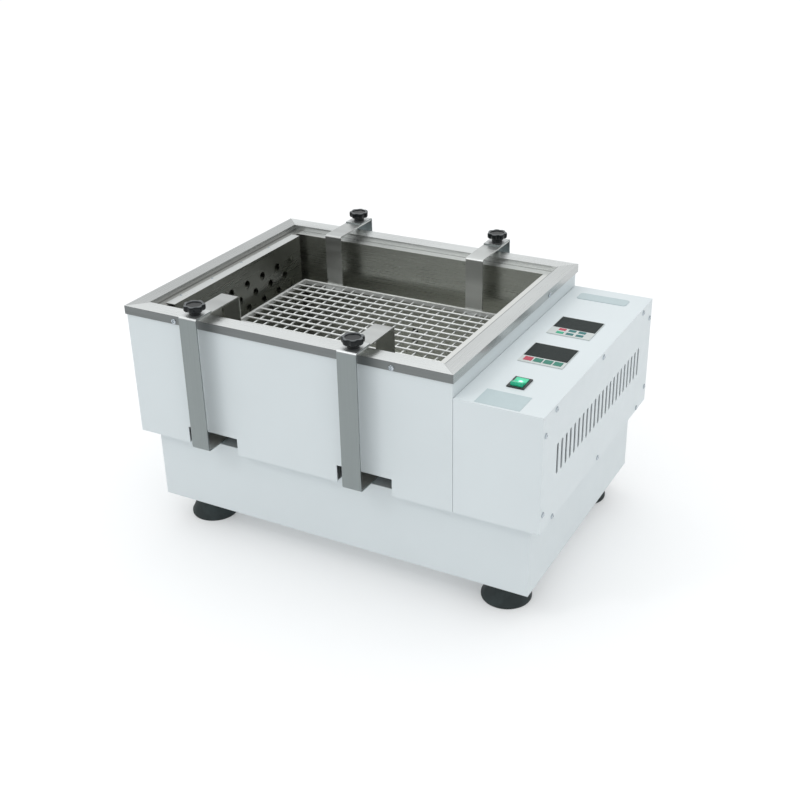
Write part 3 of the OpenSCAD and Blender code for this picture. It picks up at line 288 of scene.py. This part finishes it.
def brushed(name, colour, rough, grain, shade, streak, smear, top, depth=0.12, above=0.0):
    """Brushed sheet: fine streaks along the named axes. Faces that look up get a lighter colour, top, as a
    painted highlight.
    """
    s = Shader(name, Metallic=1.0)
    stretch = tuple(0.012 if axis in grain else 1.0 for axis in "xyz")
    wide = tuple(0.15 if axis in grain else 1.0 for axis in "xyz")
    fine = s.noise(streak, 2, stretch)
    broad = s.noise(smear, 4, wide, offset=(0.3, 0.1, 0.2))
    # Painted light: faces that look up, above the height given as above, take the lighter top colour as a
    # painted highlight; upright faces keep the darker colour
    up = s.math("MULTIPLY", s.faces(), s.math("GREATER_THAN", s.axes()[2], above))
    tone = s.mix(up, colour, top)
    dulled = s.mix(up, shaded(colour, shade), shaded(top, shade))
    s.colour(s.mix(s.span(broad, 0, 1), dulled, tone))
    s.satin(fine, broad, rough)
    s.bump(fine, depth, 0.00008)
    return s.mat


def mitred_steel(name, colour, top, rough):
    """Brushed rim: the grain follows each side and changes at the mitres, which show as thin seams. Its tops,
    inner step and right skirt get painted highlights and reflections.
    """
    s = Shader(name, Metallic=1.0)
    x = s.axes()[0]
    from_side, from_end = s.from_rim()
    gap = s.math("SUBTRACT", from_side, from_end)
    along_x = s.math("GREATER_THAN", gap, 0.0)
    fine = s.blend(along_x, s.noise(900, 2, (1, 0.012, 1)), s.noise(900, 2, (0.012, 1, 1)))
    broad = s.blend(along_x, s.noise(14, 4, (1, 0.3, 1)), s.noise(14, 4, (0.3, 1, 1)))
    # Faces that look up, the inner step and the right skirt take the painted lit tones below; the other
    # skirts keep the darker colour
    inner = s.math("GREATER_THAN", s.math("MINIMUM", from_side, from_end), STEP_FROM)
    up = s.math("MAXIMUM", s.math("MAXIMUM", s.faces(), inner), s.faces("X"))
    # Painted reflections: the sides' tops brighten from left to right, front and back tops are brightest, and
    # the right skirt gets a duller painted tone than the tops
    lit = s.mix(s.span(x, 0, 1, RIM_LOW.x, RIM_HIGH.x), shaded(top, 0.80), shaded(top, 0.95))
    lit = s.mix(s.math("MULTIPLY", along_x, s.faces()), lit, shaded(top, 1.14))
    lit = s.mix(s.faces("X"), lit, shaded(top, 0.72))
    tone = s.mix(up, colour, lit)
    tone = s.mix(s.span(broad, 0, 1), s.mix(0.12, tone, (0.0, 0.0, 0.0)), tone)
    # Thin mitre seams, and at the right a painted shadow along the inner edge of the border, where the bath's
    # ledge starts
    seam = s.span(s.math("ABSOLUTE", gap), 0.45, 0, 0.0001, 0.0005)
    edge = s.math("MULTIPLY", s.stripe(from_side, *BORDER_SHADOW), s.math("GREATER_THAN", x, RIM_MID.x))
    edge = s.math("MULTIPLY", edge, s.math("GREATER_THAN", from_end, BORDER_SHADOW_FROM_END))
    seams_and_shadow = s.math("MAXIMUM", seam, s.math("MULTIPLY", edge, 0.75))
    s.colour(s.mix(seams_and_shadow, tone, shaded(colour, 0.6)))
    grain = s.math("ADD", s.span(fine, rough - 0.06, rough + 0.07), s.span(broad, -0.05, 0.05))
    s.rough(s.math("ADD", grain, s.span(up, 0.22, 0, 0, 1)))
    s.bump(fine, 0.10, 0.00008)
    return s.mat


def bath_steel(name, wall, floor, flange, rough):
    """Rolled sheet of the bath: even walls and a darker floor. The flange, which looks up, gets a painted
    highlight, with painted shade at its left end and a dark seam, partly painted shadow, at the foot of the
    rim's step.
    """
    s = Shader(name, Metallic=1.0)
    x, _, z = s.axes()
    from_side, from_end = s.from_rim()
    fine = s.noise(1500, 2, (0.008, 0.008, 1))
    broad = s.noise(9, 4, (0.15, 0.15, 1), offset=(0.3, 0.1, 0.2))
    # Painted shade on the flange at the left, standing for the step's shadow and reflection, with a lighter
    # painted band and a faint brown tint
    left = s.span(x, 1, 0, RIM_LOW.x + SHADE_END, RIM_LOW.x + SHADE_FADE)
    left_shade = s.mix(s.stripe(from_side, *LEDGE_LIGHTER_BAND, 0.002), shaded(flange, 0.5), shaded(flange, 0.72))
    rim = s.mix(left, flange, s.mix(0.08, left_shade, (0.30, 0.22, 0.10)))
    # A dark line at the foot of the border's step: partly the joint between the rim and the bath's sheets,
    # partly painted shadow of the step
    seam = s.stripe(s.math("MINIMUM", from_side, s.math("SUBTRACT", from_end, 0.002)), *LEDGE_SEAM_AND_SHADOW)
    rim = s.mix(s.math("MULTIPLY", seam, 0.8), rim, (0.08, 0.075, 0.06))
    # Painted highlight: faces that look up above UNDER_LEDGE, the flange, take the bright flange colour;
    # faces that look up lower down, the floor, take the darker floor colour
    flat = s.mix(s.math("GREATER_THAN", z, UNDER_LEDGE), floor, rim)
    s.colour(s.mix(s.faces(), s.mix(s.span(broad, 0, 1), shaded(wall, 0.92), wall), flat))
    s.satin(fine, broad, rough)
    s.bump(fine, 0.03, 0.00004)
    return s.mat


def plain_metal(name, colour, rough, spots, metallic=1.0, side=None):
    """Cast, drawn or turned metal with light stains and fine scratches. side colours its upright faces darker
    than those that look up, as painted shade.
    """
    s = Shader(name, Metallic=metallic)
    tone = s.noise(spots, 5)
    # Painted light: faces that look up keep the lighter colour and upright faces take side
    clean = s.mix(s.faces("Z", 0.1, 0.75), side, colour) if side else colour
    s.colour(s.mix(s.span(tone, 0.2, 0), clean, (0.0, 0.0, 0.0)))
    s.rough(s.span(s.noise(spots * 3, 4), rough - 0.07, rough + 0.09))
    s.bump(s.noise(1500, 3), 0.08, 0.00006)
    return s.mat


def plastic(name, colour, rough, grain=1400.0, shade=0.9, coat=0.0, level=0.5):
    """Moulded plastic with a fine spark-eroded grain."""
    s = Shader(name, Specular_IOR_Level=level, Coat_Weight=coat, Coat_Roughness=0.08)
    s.colour(s.mix(s.span(s.noise(120, 4), 0, 1), shaded(colour, shade), colour))
    s.rough(s.span(s.noise(300, 3), rough - 0.05, rough + 0.06))
    s.bump(s.noise(grain, 2), 0.12, 0.0001)
    return s.mat


def knob_black(name, colour, crown_highlight):
    """Glossy black of the star knobs, with a paler, rougher painted highlight round the top."""
    s = Shader(name, Specular_IOR_Level=0.25)
    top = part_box("clamp_knob_1")[1].z
    # Painted highlight: the crown of the knob is paler and rougher, in patches
    crown = s.span(s.axes()[2], 0, 1, top - 1.1 * MM, top - 0.3 * MM)
    crown_sheen = s.math("MULTIPLY", crown, s.span(s.noise(260, 3), 0.75, 1))
    s.colour(s.mix(crown_sheen, colour, crown_highlight))
    s.rough(s.blend(crown_sheen, s.span(s.noise(300, 3), 0.12, 0.20), 0.34))
    s.bump(s.noise(1400, 2), 0.10, 0.00008)
    return s.mat


def rubber(name, colour):
    """Dull rubber with dusty patches and a pebbled skin."""
    s = Shader(name, Specular_IOR_Level=0.35)
    dust = s.noise(35, 6)
    s.colour(s.mix(s.span(dust, 0, 1, 0.45, 0.8), colour, tuple(c * 1.9 + 0.01 for c in colour)))
    s.rough(s.span(dust, 0.5, 0.75))
    s.bump(s.noise(700, 3), 0.2, 0.0003)
    return s.mat


def foam(name, colour):
    """Matt insulation with a loose, fibrous skin."""
    s = Shader(name, Specular_IOR_Level=0.1)
    s.colour(s.mix(s.span(s.noise(180, 6), 0, 1), shaded(colour, 0.7), colour))
    s.rough(s.span(s.noise(80, 3), 0.9, 1.0))
    s.bump(s.noise(500, 5), 0.6, 0.001)
    return s.mat


def lit_plastic(name):
    """Lit rocker lens: deep green with a bright spot where the lamp sits."""
    low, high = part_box("switch_rocker")
    spot = Vector(((low.x + high.x) / 2 + 0.001, (low.y + high.y) / 2 + 0.0005, high.z - 0.003))
    s = Shader(name, Roughness=0.22, Specular_IOR_Level=0.5, Coat_Weight=0.6, Coat_Roughness=0.05)
    away = s.add("ShaderNodeVectorMath", operation="DISTANCE")
    s.put(s.coord, away.inputs[0])
    away.inputs[1].default_value = spot
    near = s.span(away.outputs["Value"], 1, 0, 0.0012, 0.0042)
    glow = s.span(away.outputs["Value"], 1, 0, 0.002, 0.014)
    s.colour(s.mix(s.span(s.noise(300, 3), 0, 1), (0.0, 0.42, 0.22), (0.01, 0.55, 0.30)))
    tint = s.mix(glow, (0.0, 0.22, 0.12), (0.02, 0.95, 0.45))
    s.put(s.mix(near, tint, (0.85, 1.0, 0.8)), s.bsdf.inputs["Emission Color"])
    s.put(s.math("ADD", s.math("MULTIPLY", near, 1.6), s.math("MULTIPLY", glow, 0.55)),
          s.bsdf.inputs["Emission Strength"])
    return s.mat


def key_film(name, colour):
    """Printed key on a membrane: satin, with uneven ink."""
    s = Shader(name, Specular_IOR_Level=0.4)
    s.colour(s.mix(s.span(s.noise(600, 4), 0, 1), shaded(colour, 0.75), colour))
    s.rough(s.span(s.noise(900, 2), 0.38, 0.5))
    s.bump(s.noise(2500, 2), 0.15, 0.00006)
    return s.mat


WHITE = (0.645, 0.70, 0.72)
MATERIALS = {
    "base_paint": paint("base_powder_coat", WHITE),
    "housing_paint": paint("housing_powder_coat", WHITE),
    "box_paint": paint("box_powder_coat", (0.655, 0.71, 0.73)),
    # In the steels below, top and flange colours are painted highlights on faces that look up, and the darker
    # colours of upright faces painted shade
    "tank_steel": bath_steel("bath_steel", (0.51, 0.52, 0.48), (0.40, 0.41, 0.38), (0.76, 0.77, 0.75), 0.32),
    "partition_steel": brushed("guard_steel", (0.27, 0.275, 0.255), 0.32, "y", 0.9, 500, 22,
                               (0.70, 0.72, 0.71), 0.02, UNDER_LEDGE),
    "rim_steel": mitred_steel("rim_steel", (0.23, 0.245, 0.245), (0.70, 0.72, 0.715), 0.30),
    "screw_steel": plain_metal("screw_steel", (0.55, 0.60, 0.64), 0.22, 400),
    "strap_steel": brushed("strap_steel", (0.285, 0.315, 0.315), 0.42, "z", 0.92, 900, 12,
                           (0.72, 0.74, 0.74)),
    "hanger_steel": brushed("hanger_steel", (0.56, 0.57, 0.55), 0.36, "x", 0.62, 900, 16, (0.70, 0.72, 0.71)),
    # The tray's first colour is a painted highlight on faces that look up; its last colour, for upright
    # faces, is painted shade
    "tray_steel": plain_metal("tray_steel", (0.84, 0.86, 0.85), 0.46, 90, 0.55, (0.62, 0.63, 0.62)),
    "heater_steel": plain_metal("heater_steel", (0.30, 0.29, 0.28), 0.42, 120),
    "foot_rubber": rubber("foot_rubber", (0.018, 0.026, 0.027)),
    "foam": foam("glass_wool", (0.62, 0.62, 0.57)),
    "valve_metal": plain_metal("plated_brass", (0.52, 0.47, 0.36), 0.24, 45),
    "lever_paint": plastic("lever_coating", (0.42, 0.02, 0.02), 0.35, coat=0.3),
    "black_plastic": plastic("switch_black", (0.014, 0.018, 0.018), 0.36),
    "knob_plastic": knob_black("knob_black", (0.004, 0.006, 0.007), (0.13, 0.14, 0.145)),
    "rocker_plastic": lit_plastic("lit_green_lens"),
    "controller_plastic": plastic("membrane_grey", (0.56, 0.60, 0.59), 0.40, 900, 0.93),
    "window_plastic": plastic("smoked_window", (0.014, 0.021, 0.020), 0.38, 500, 0.9, level=0.12),
    "label_film": plastic("label_film", (0.45, 0.54, 0.56), 0.34, 700, 0.97),
    "key_red": key_film("red_ink", (0.52, 0.06, 0.10)),
    "key_green": key_film("green_ink", (0.03, 0.22, 0.16)),
    "key_teal": key_film("teal_ink", (0.02, 0.18, 0.18)),
    "key_bright": key_film("bright_green_ink", (0.02, 0.42, 0.24)),
    "relay_body": plastic("relay_black", (0.03, 0.03, 0.035), 0.45),
    "drive_steel": plain_metal("machined_steel", (0.50, 0.51, 0.52), 0.30, 80),
    "drive_iron": plain_metal("cast_grey", (0.22, 0.23, 0.24), 0.55, 50),
    "motor_paint": plastic("motor_enamel", (0.05, 0.06, 0.07), 0.40, 400, 0.85),
    "bearing_steel": plain_metal("bearing_steel", (0.62, 0.63, 0.65), 0.16, 300),
    "light_alloy": plain_metal("light_alloy", (0.66, 0.67, 0.69), 0.36, 60),
    "belt_rubber": rubber("belt_rubber", (0.015, 0.015, 0.015)),
}


# ---------- pieces ----------

# Edges sharper than this stay sharp in shading and are rounded by the bevel
SHARP_DEG = 35
# Points of a CAD mesh that are closer than this are one point
WELD_DIST = 2e-6
# Head height and shank diameter of the screws, in millimetres
SCREW_HEADS = {"rim_screws": (2.0, 3.8), "side_panel_screws": (2.0, 3.8), "strap_screws": (3.0, 5.0)}
LIP_SCREW_HEAD, LIP_SCREW_MAX_D = (1.2, 2.5), 5


def new_object(name, mesh, body, slot, replaces=()):
    obj = bpy.data.objects.new(name, mesh)
    bpy.context.scene.collection.objects.link(obj)
    mesh.materials.clear()
    mesh.materials.append(MATERIALS[slot])
    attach(obj, body)
    if replaces:
        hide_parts(*replaces)
    return obj


def smooth(mesh, angle):
    for polygon in mesh.polygons:
        polygon.use_smooth = True
    mesh.set_sharp_from_angle(angle=math.radians(angle))


def finish_bmesh(name, bm, angle):
    mesh = bpy.data.meshes.new(name)
    bmesh.ops.recalc_face_normals(bm, faces=bm.faces)
    bm.to_mesh(mesh)
    bm.free()
    smooth(mesh, angle)
    return mesh


def dressed(node, width, fold=None):
    """A copy of a CAD node's mesh with its sharp edges rounded, as folded and moulded parts have them.

    width is in millimetres. fold is a radius in millimetres and a test of an edge's two ends, for the wider
    edges where the sheet is bent."""
    segments = 2
    sharp = math.radians(SHARP_DEG)
    bm = bmesh.new()
    bm.from_mesh(NODES[node].data)
    bmesh.ops.remove_doubles(bm, verts=bm.verts, dist=WELD_DIST)
    bmesh.ops.dissolve_limit(bm, angle_limit=math.radians(0.5), verts=bm.verts, edges=bm.edges)
    if fold:
        radius, test = fold
        weight = bm.edges.layers.float.new("bevel_weight_edge")
        for edge in bm.edges:
            if len(edge.link_faces) == 2 and edge.calc_face_angle(0) > sharp:
                bent = edge.is_convex and test(edge.verts[0].co, edge.verts[1].co)
                edge[weight] = 1.0 if bent else width / radius
        width, segments = radius, 3
    mesh = bpy.data.meshes.new(node + "_skin")
    bm.to_mesh(mesh)
    bm.free()
    if "custom_normal" in mesh.attributes:
        mesh.attributes.remove(mesh.attributes["custom_normal"])
    smooth(mesh, SHARP_DEG)
    obj = new_object(mesh.name, mesh, BODY_OF[node], SLOT_OF[node], (node,))
    bevel = obj.modifiers.new("edge", "BEVEL")
    bevel.width, bevel.segments = width * MM, segments
    bevel.limit_method, bevel.angle_limit = "WEIGHT" if fold else "ANGLE", sharp
    bevel.harden_normals = True
    bevel.use_clamp_overlap = True
    return obj


def ring_stack(bm, rings):
    """Joins closed rings of equal length, given as lists of points, and caps the first and last."""
    rows = [[bm.verts.new(p) for p in ring] for ring in rings]
    count = len(rows[0])
    for low, high in zip(rows, rows[1:]):
        for i in range(count):
            j = (i + 1) % count
            bm.faces.new((low[i], low[j], high[j], high[i]))
    bm.faces.new(list(reversed(rows[0])))
    bm.faces.new(rows[-1])


def turned(outline, steps, frame_at, lobe):
    """Rings of a turned shape: outline is (radius, height) pairs in millimetres, frame_at places them, and
    lobe adds to the radius."""
    rings = []
    for r, h in outline:
        ring = []
        for i in range(steps):
            a = 2 * math.pi * i / steps
            reach = r + lobe(a, r)
            ring.append(frame_at @ Vector((reach * math.cos(a) * MM, reach * math.sin(a) * MM, h * MM)))
        rings.append(ring)
    return rings


def facing(place, out):
    """A frame at place (metres) whose Z points out."""
    return Matrix.Translation(place) @ Vector(out).to_track_quat("Z", "Y").to_matrix().to_4x4()


def pan_head(bm, place, out, d, h, shank_d, shank_l, turn=0.0):
    """A screw with a domed head and a pressed cross, in millimetres. Its head sits on place and faces out."""
    at = facing(place, out)
    steps, rows = 48, 11
    r_max = d / 2
    arm, reach, deep = 0.085 * d, 0.30 * d, 0.42 * h
    def top(x, y):
        r = math.hypot(x, y) / r_max
        z = h * (0.35 + 0.65 * math.sqrt(max(0.0, 1 - 0.92 * r * r)))
        u = x * math.cos(turn) + y * math.sin(turn)
        v = -x * math.sin(turn) + y * math.cos(turn)
        inside = (abs(u) < arm and abs(v) < reach) or (abs(v) < arm and abs(u) < reach)
        return z - (deep if inside else 0.0)
    centre = bm.verts.new(at @ Vector((0, 0, top(0, 0) * MM)))
    loops = []
    for k in range(1, rows + 1):
        r = r_max * k / rows
        loop = []
        for i in range(steps):
            a = 2 * math.pi * i / steps
            x, y = r * math.cos(a), r * math.sin(a)
            loop.append(bm.verts.new(at @ Vector((x * MM, y * MM, top(x, y) * MM))))
        loops.append(loop)
    for scale, z in ((1.0, 0.0), (shank_d / d, 0.0), (shank_d / d, -shank_l)):
        loops.append([
            bm.verts.new(at @ Vector((scale * r_max * math.cos(2 * math.pi * i / steps) * MM,
                                      scale * r_max * math.sin(2 * math.pi * i / steps) * MM, z * MM)))
            for i in range(steps)
        ])
    for i in range(steps):
        bm.faces.new((centre, loops[0][i], loops[0][(i + 1) % steps]))
    for low, high in zip(loops, loops[1:]):
        for i in range(steps):
            j = (i + 1) % steps
            bm.faces.new((low[j], low[i], high[i], high[j]))
    bm.faces.new(list(reversed(loops[-1])))


def islands(node):
    """Lowest and highest corner of each separate solid in a CAD node."""
    bm = bmesh.new()
    bm.from_mesh(NODES[node].data)
    bmesh.ops.remove_doubles(bm, verts=bm.verts, dist=WELD_DIST)
    seen, found = set(), []
    for start in bm.verts:
        if start in seen:
            continue
        stack, group = [start], []
        seen.add(start)
        while stack:
            v = stack.pop()
            group.append(v.co.copy())
            for e in v.link_edges:
                w = e.other_vert(v)
                if w not in seen:
                    seen.add(w)
                    stack.append(w)
        low = Vector([min(p[i] for p in group) for i in range(3)])
        high = Vector([max(p[i] for p in group) for i in range(3)])
        found.append((low, high))
    bm.free()
    return sorted(found, key=lambda b: tuple(round(c, 4) for c in b[0]))


def screws():
    """Domed cross-head screws in place of the plain ones, at the CAD screws' places."""
    for node in SCREW_HEADS:
        bm = bmesh.new()
        for n, (low, high) in enumerate(islands(node)):
            size, mid = high - low, (low + high) / 2
            axis = min(range(3), key=lambda i: abs(size[(i + 1) % 3] - size[(i + 2) % 3]))
            d = size[(axis + 1) % 3] / MM
            out = Vector((0, 0, 0))
            if axis == 2:
                out.z = 1
            else:
                out[axis] = 1 if mid[axis] > (RIM_MID[axis] if node == "rim_screws" else 0) else -1
            head, shank = SCREW_HEADS[node]
            if node == "rim_screws" and d < LIP_SCREW_MAX_D:
                head, shank = LIP_SCREW_HEAD
            place = mid.copy()
            place[axis] = (high if out[axis] > 0 else low)[axis] - out[axis] * head * MM
            pan_head(bm, place, out, d, head, shank, size[axis] / MM - head, 0.4 + 1.3 * n)
        mesh = finish_bmesh(node + "_heads", bm, 40)
        new_object(node + "_heads", mesh, BODY_OF[node], SLOT_OF[node], (node,))


# Half section of a star knob as (radius, height) in millimetres, from its stud round to its hollow top
KNOB_OUTLINE = [
    (3.95, -10.0), (3.95, -0.05), (8.5, 0.0), (8.7, 0.4), (8.3, 5.3), (12.6, 5.45), (14.4, 5.9), (15.4, 7.0),
    (15.75, 8.6), (15.8, 12.4), (15.45, 14.0), (14.7, 14.8), (13.7, 15.0), (12.4, 14.95), (11.6, 14.6),
    (11.1, 13.9), (10.7, 13.2), (5.5, 12.8), (1.5, 12.8)]
KNOB_H = 15.0
KNOB_LOBES = 7
KNOB_PLAIN_R = 10.8


def knob_lobe(a, r):
    """How far a lobe stands out or a notch goes in, outside the knob's plain middle."""
    if r < KNOB_PLAIN_R:
        return 0.0
    wave = math.cos(KNOB_LOBES * a)
    return (0.25 * (abs(wave) ** 0.7) * (1 if wave > 0 else -2.6) - 0.1) * (r - KNOB_PLAIN_R) * 0.60


def knobs():
    """Star knobs with rounded lobes and a hollow top."""
    for n in range(1, 5):
        node = f"clamp_knob_{n}"
        low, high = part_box(node)
        mid = (low + high) / 2
        seat = high.z - KNOB_H * MM
        bm = bmesh.new()
        at = Matrix.Translation((mid.x, mid.y, seat)) @ Matrix.Rotation(0.35 + 1.1 * n, 4, "Z")
        ring_stack(bm, turned(KNOB_OUTLINE, 112, at, knob_lobe))
        mesh = finish_bmesh(node + "_star", bm, 42)
        new_object(node + "_star", mesh, BODY_OF[node], SLOT_OF[node], (node,))


def bead(name, start, end, radius, body, slot):
    """A thin round weld bead along a line, with slightly uneven ripples."""
    start, end = Vector(start), Vector(end)
    way = (end - start).normalized()
    side = way.orthogonal().normalized()
    lift = way.cross(side)
    steps = max(8, int((end - start).length / 0.004))
    bm = bmesh.new()
    rings = []
    for k in range(steps + 1):
        at = start + (end - start) * k / steps
        r = radius * (0.85 + 0.15 * math.sin(2.7 * k)) * (0.5 if k in (0, steps) else 1)
        rings.append([at + side * r * math.cos(a) + lift * r * math.sin(a)
                      for a in [2 * math.pi * i / 8 for i in range(8)]])
    ring_stack(bm, rings)
    new_object(name, finish_bmesh(name, bm, 60), body, slot)


def tank_welds():
    """Fine weld beads in the bath's upright corners."""
    x0, x1 = RIM_LOW.x + BATH_WALL_X, RIM_HIGH.x - BATH_WALL_X
    y0, y1 = RIM_LOW.y + BATH_WALL_Y, RIM_HIGH.y - BATH_WALL_Y
    low, high = TANK_LOW.z + SHEET, LEDGE_Z - 1 * MM
    for n, (x, y) in enumerate(((x0, y0), (x1, y0), (x1, y1), (x0, y1)), 1):
        bead(f"bath_corner_weld_{n}", (x, y, low), (x, y, high), 0.7 * MM, "chassis", "tank_steel")


def along(axis, *limits):
    """A test for edges that run along an axis, or that lie in the plane of a limit: (axis, place)."""
    def test(a, b):
        if axis is not None and (b - a).normalized()[axis] ** 2 > 0.99:
            return True
        return any(abs(a[i] - place) < 2e-5 and abs(b[i] - place) < 2e-5 for i, place in limits)
    return test


def box_fold(a, b):
    """The front and back folds of the control box, but not the edges that meet the housing."""
    return along(None, (1, BOX_LOW.y), (1, BOX_HIGH.y))(a, b) and max(a.x, b.x) > BOX_LOW.x + 1 * MM


# Radius and edges of each sheet's folds, and the width of the rounding on all other edges, in millimetres
FOLDS = {
    "rim_frame": (1.6, along(None, (2, RIM_HIGH.z))),
    "tank": (1.3, along(None, (2, LEDGE_Z))),
    "perforated_partition": (1.0, along(None, (2, LEDGE_Z + SHEET))),
    "base_shell": (1.6, along(2, (2, BOX_LOW.z))),
    "control_box": (1.5, box_fold),
}
EDGE_WIDTHS = {
    "base_shell": 0.6, "base_bottom_plate": 0.5, "upper_housing": 0.5, "control_box": 0.5, "side_panel": 0.35,
    "rim_frame": 0.5, "tank": 0.4, "outer_straps": 0.45, "tray_hangers": 0.4, "shaking_tray": 0.5,
    "perforated_partition": 0.2, "switch_bezel": 0.5, "switch_rocker": 0.5, "power_inlet": 0.4,
    "speed_controller": 0.35, "temperature_controller": 0.35, "display_windows": 0.15, "blank_labels": 0.15,
    "drain_valve_body": 0.6, "drain_lever": 0.8, "rubber_feet": 0.8,
}
KEY_EDGE = 0.3
BOX_SEAM = 0.6 * MM


def main_skins():
    for node, width in EDGE_WIDTHS.items():
        obj = dressed(node, width, FOLDS.get(node))
        if node == "control_box":
            # A dark seam stays open where the box meets the housing
            for v in obj.data.vertices:
                if v.co.x < BOX_LOW.x + 0.1 * MM:
                    v.co.x += BOX_SEAM
    for n in range(1, 5):
        dressed(f"speed_key_{n}", KEY_EDGE)
    for n in range(1, 7):
        dressed(f"temperature_key_{n}", KEY_EDGE)


def inner_nodes():
    """The pieces inside the cabinets keep their CAD shape and get their finish."""
    for name, obj in NODES.items():
        if not obj.hide_render:
            obj.data.materials.clear()
            obj.data.materials.append(MATERIALS[SLOT_OF[name]])


# Middles of the inlet's blades from its own middle, and the half width and half height of a blade at each
# depth from the inlet's face, in millimetres
BLADE_PLACES = ((-7, 1), (0, 5), (7, 1))
BLADE_SECTIONS = ((-15.4, 1.08, 2.08), (-4.2, 1.08, 2.08), (-3.3, 0.8, 1.8), (-2.9, 0.4, 1.3))
EAR_SCREW_X = 20


def inlet_details():
    """Bright blades in the mains inlet and the two screws in its ears."""
    low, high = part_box("power_inlet")
    mid = (low + high) / 2
    face = high.y
    for n, (dx, dz) in enumerate(BLADE_PLACES, 1):
        bm = bmesh.new()
        rings = []
        for y, w, h in BLADE_SECTIONS:
            rings.append([Vector((mid.x + (dx + sx * w) * MM, face + y * MM, mid.z + (dz + sz * h) * MM))
                          for sx, sz in ((-1, -1), (1, -1), (1, 1), (-1, 1))])
        ring_stack(bm, rings)
        mesh = finish_bmesh(f"inlet_blade_{n}", bm, 30)
        new_object(f"inlet_blade_{n}", mesh, "chassis", "valve_metal")
    bm = bmesh.new()
    for side in (-1, 1):
        place = Vector((mid.x + side * EAR_SCREW_X * MM, face, mid.z))
        pan_head(bm, place, (0, 1, 0), 6.0, 1.6, 3.2, 6.0, 0.5 + side)
    new_object("inlet_screws", finish_bmesh("inlet_screws", bm, 40), "chassis", "screw_steel")


make_camera()
make_world()
make_floor()
for light in LIGHTS:
    area_light(*light)
bpy.context.scene.view_settings.view_transform = "Standard"

main_skins()
screws()
knobs()
tank_welds()
inlet_details()
inner_nodes()
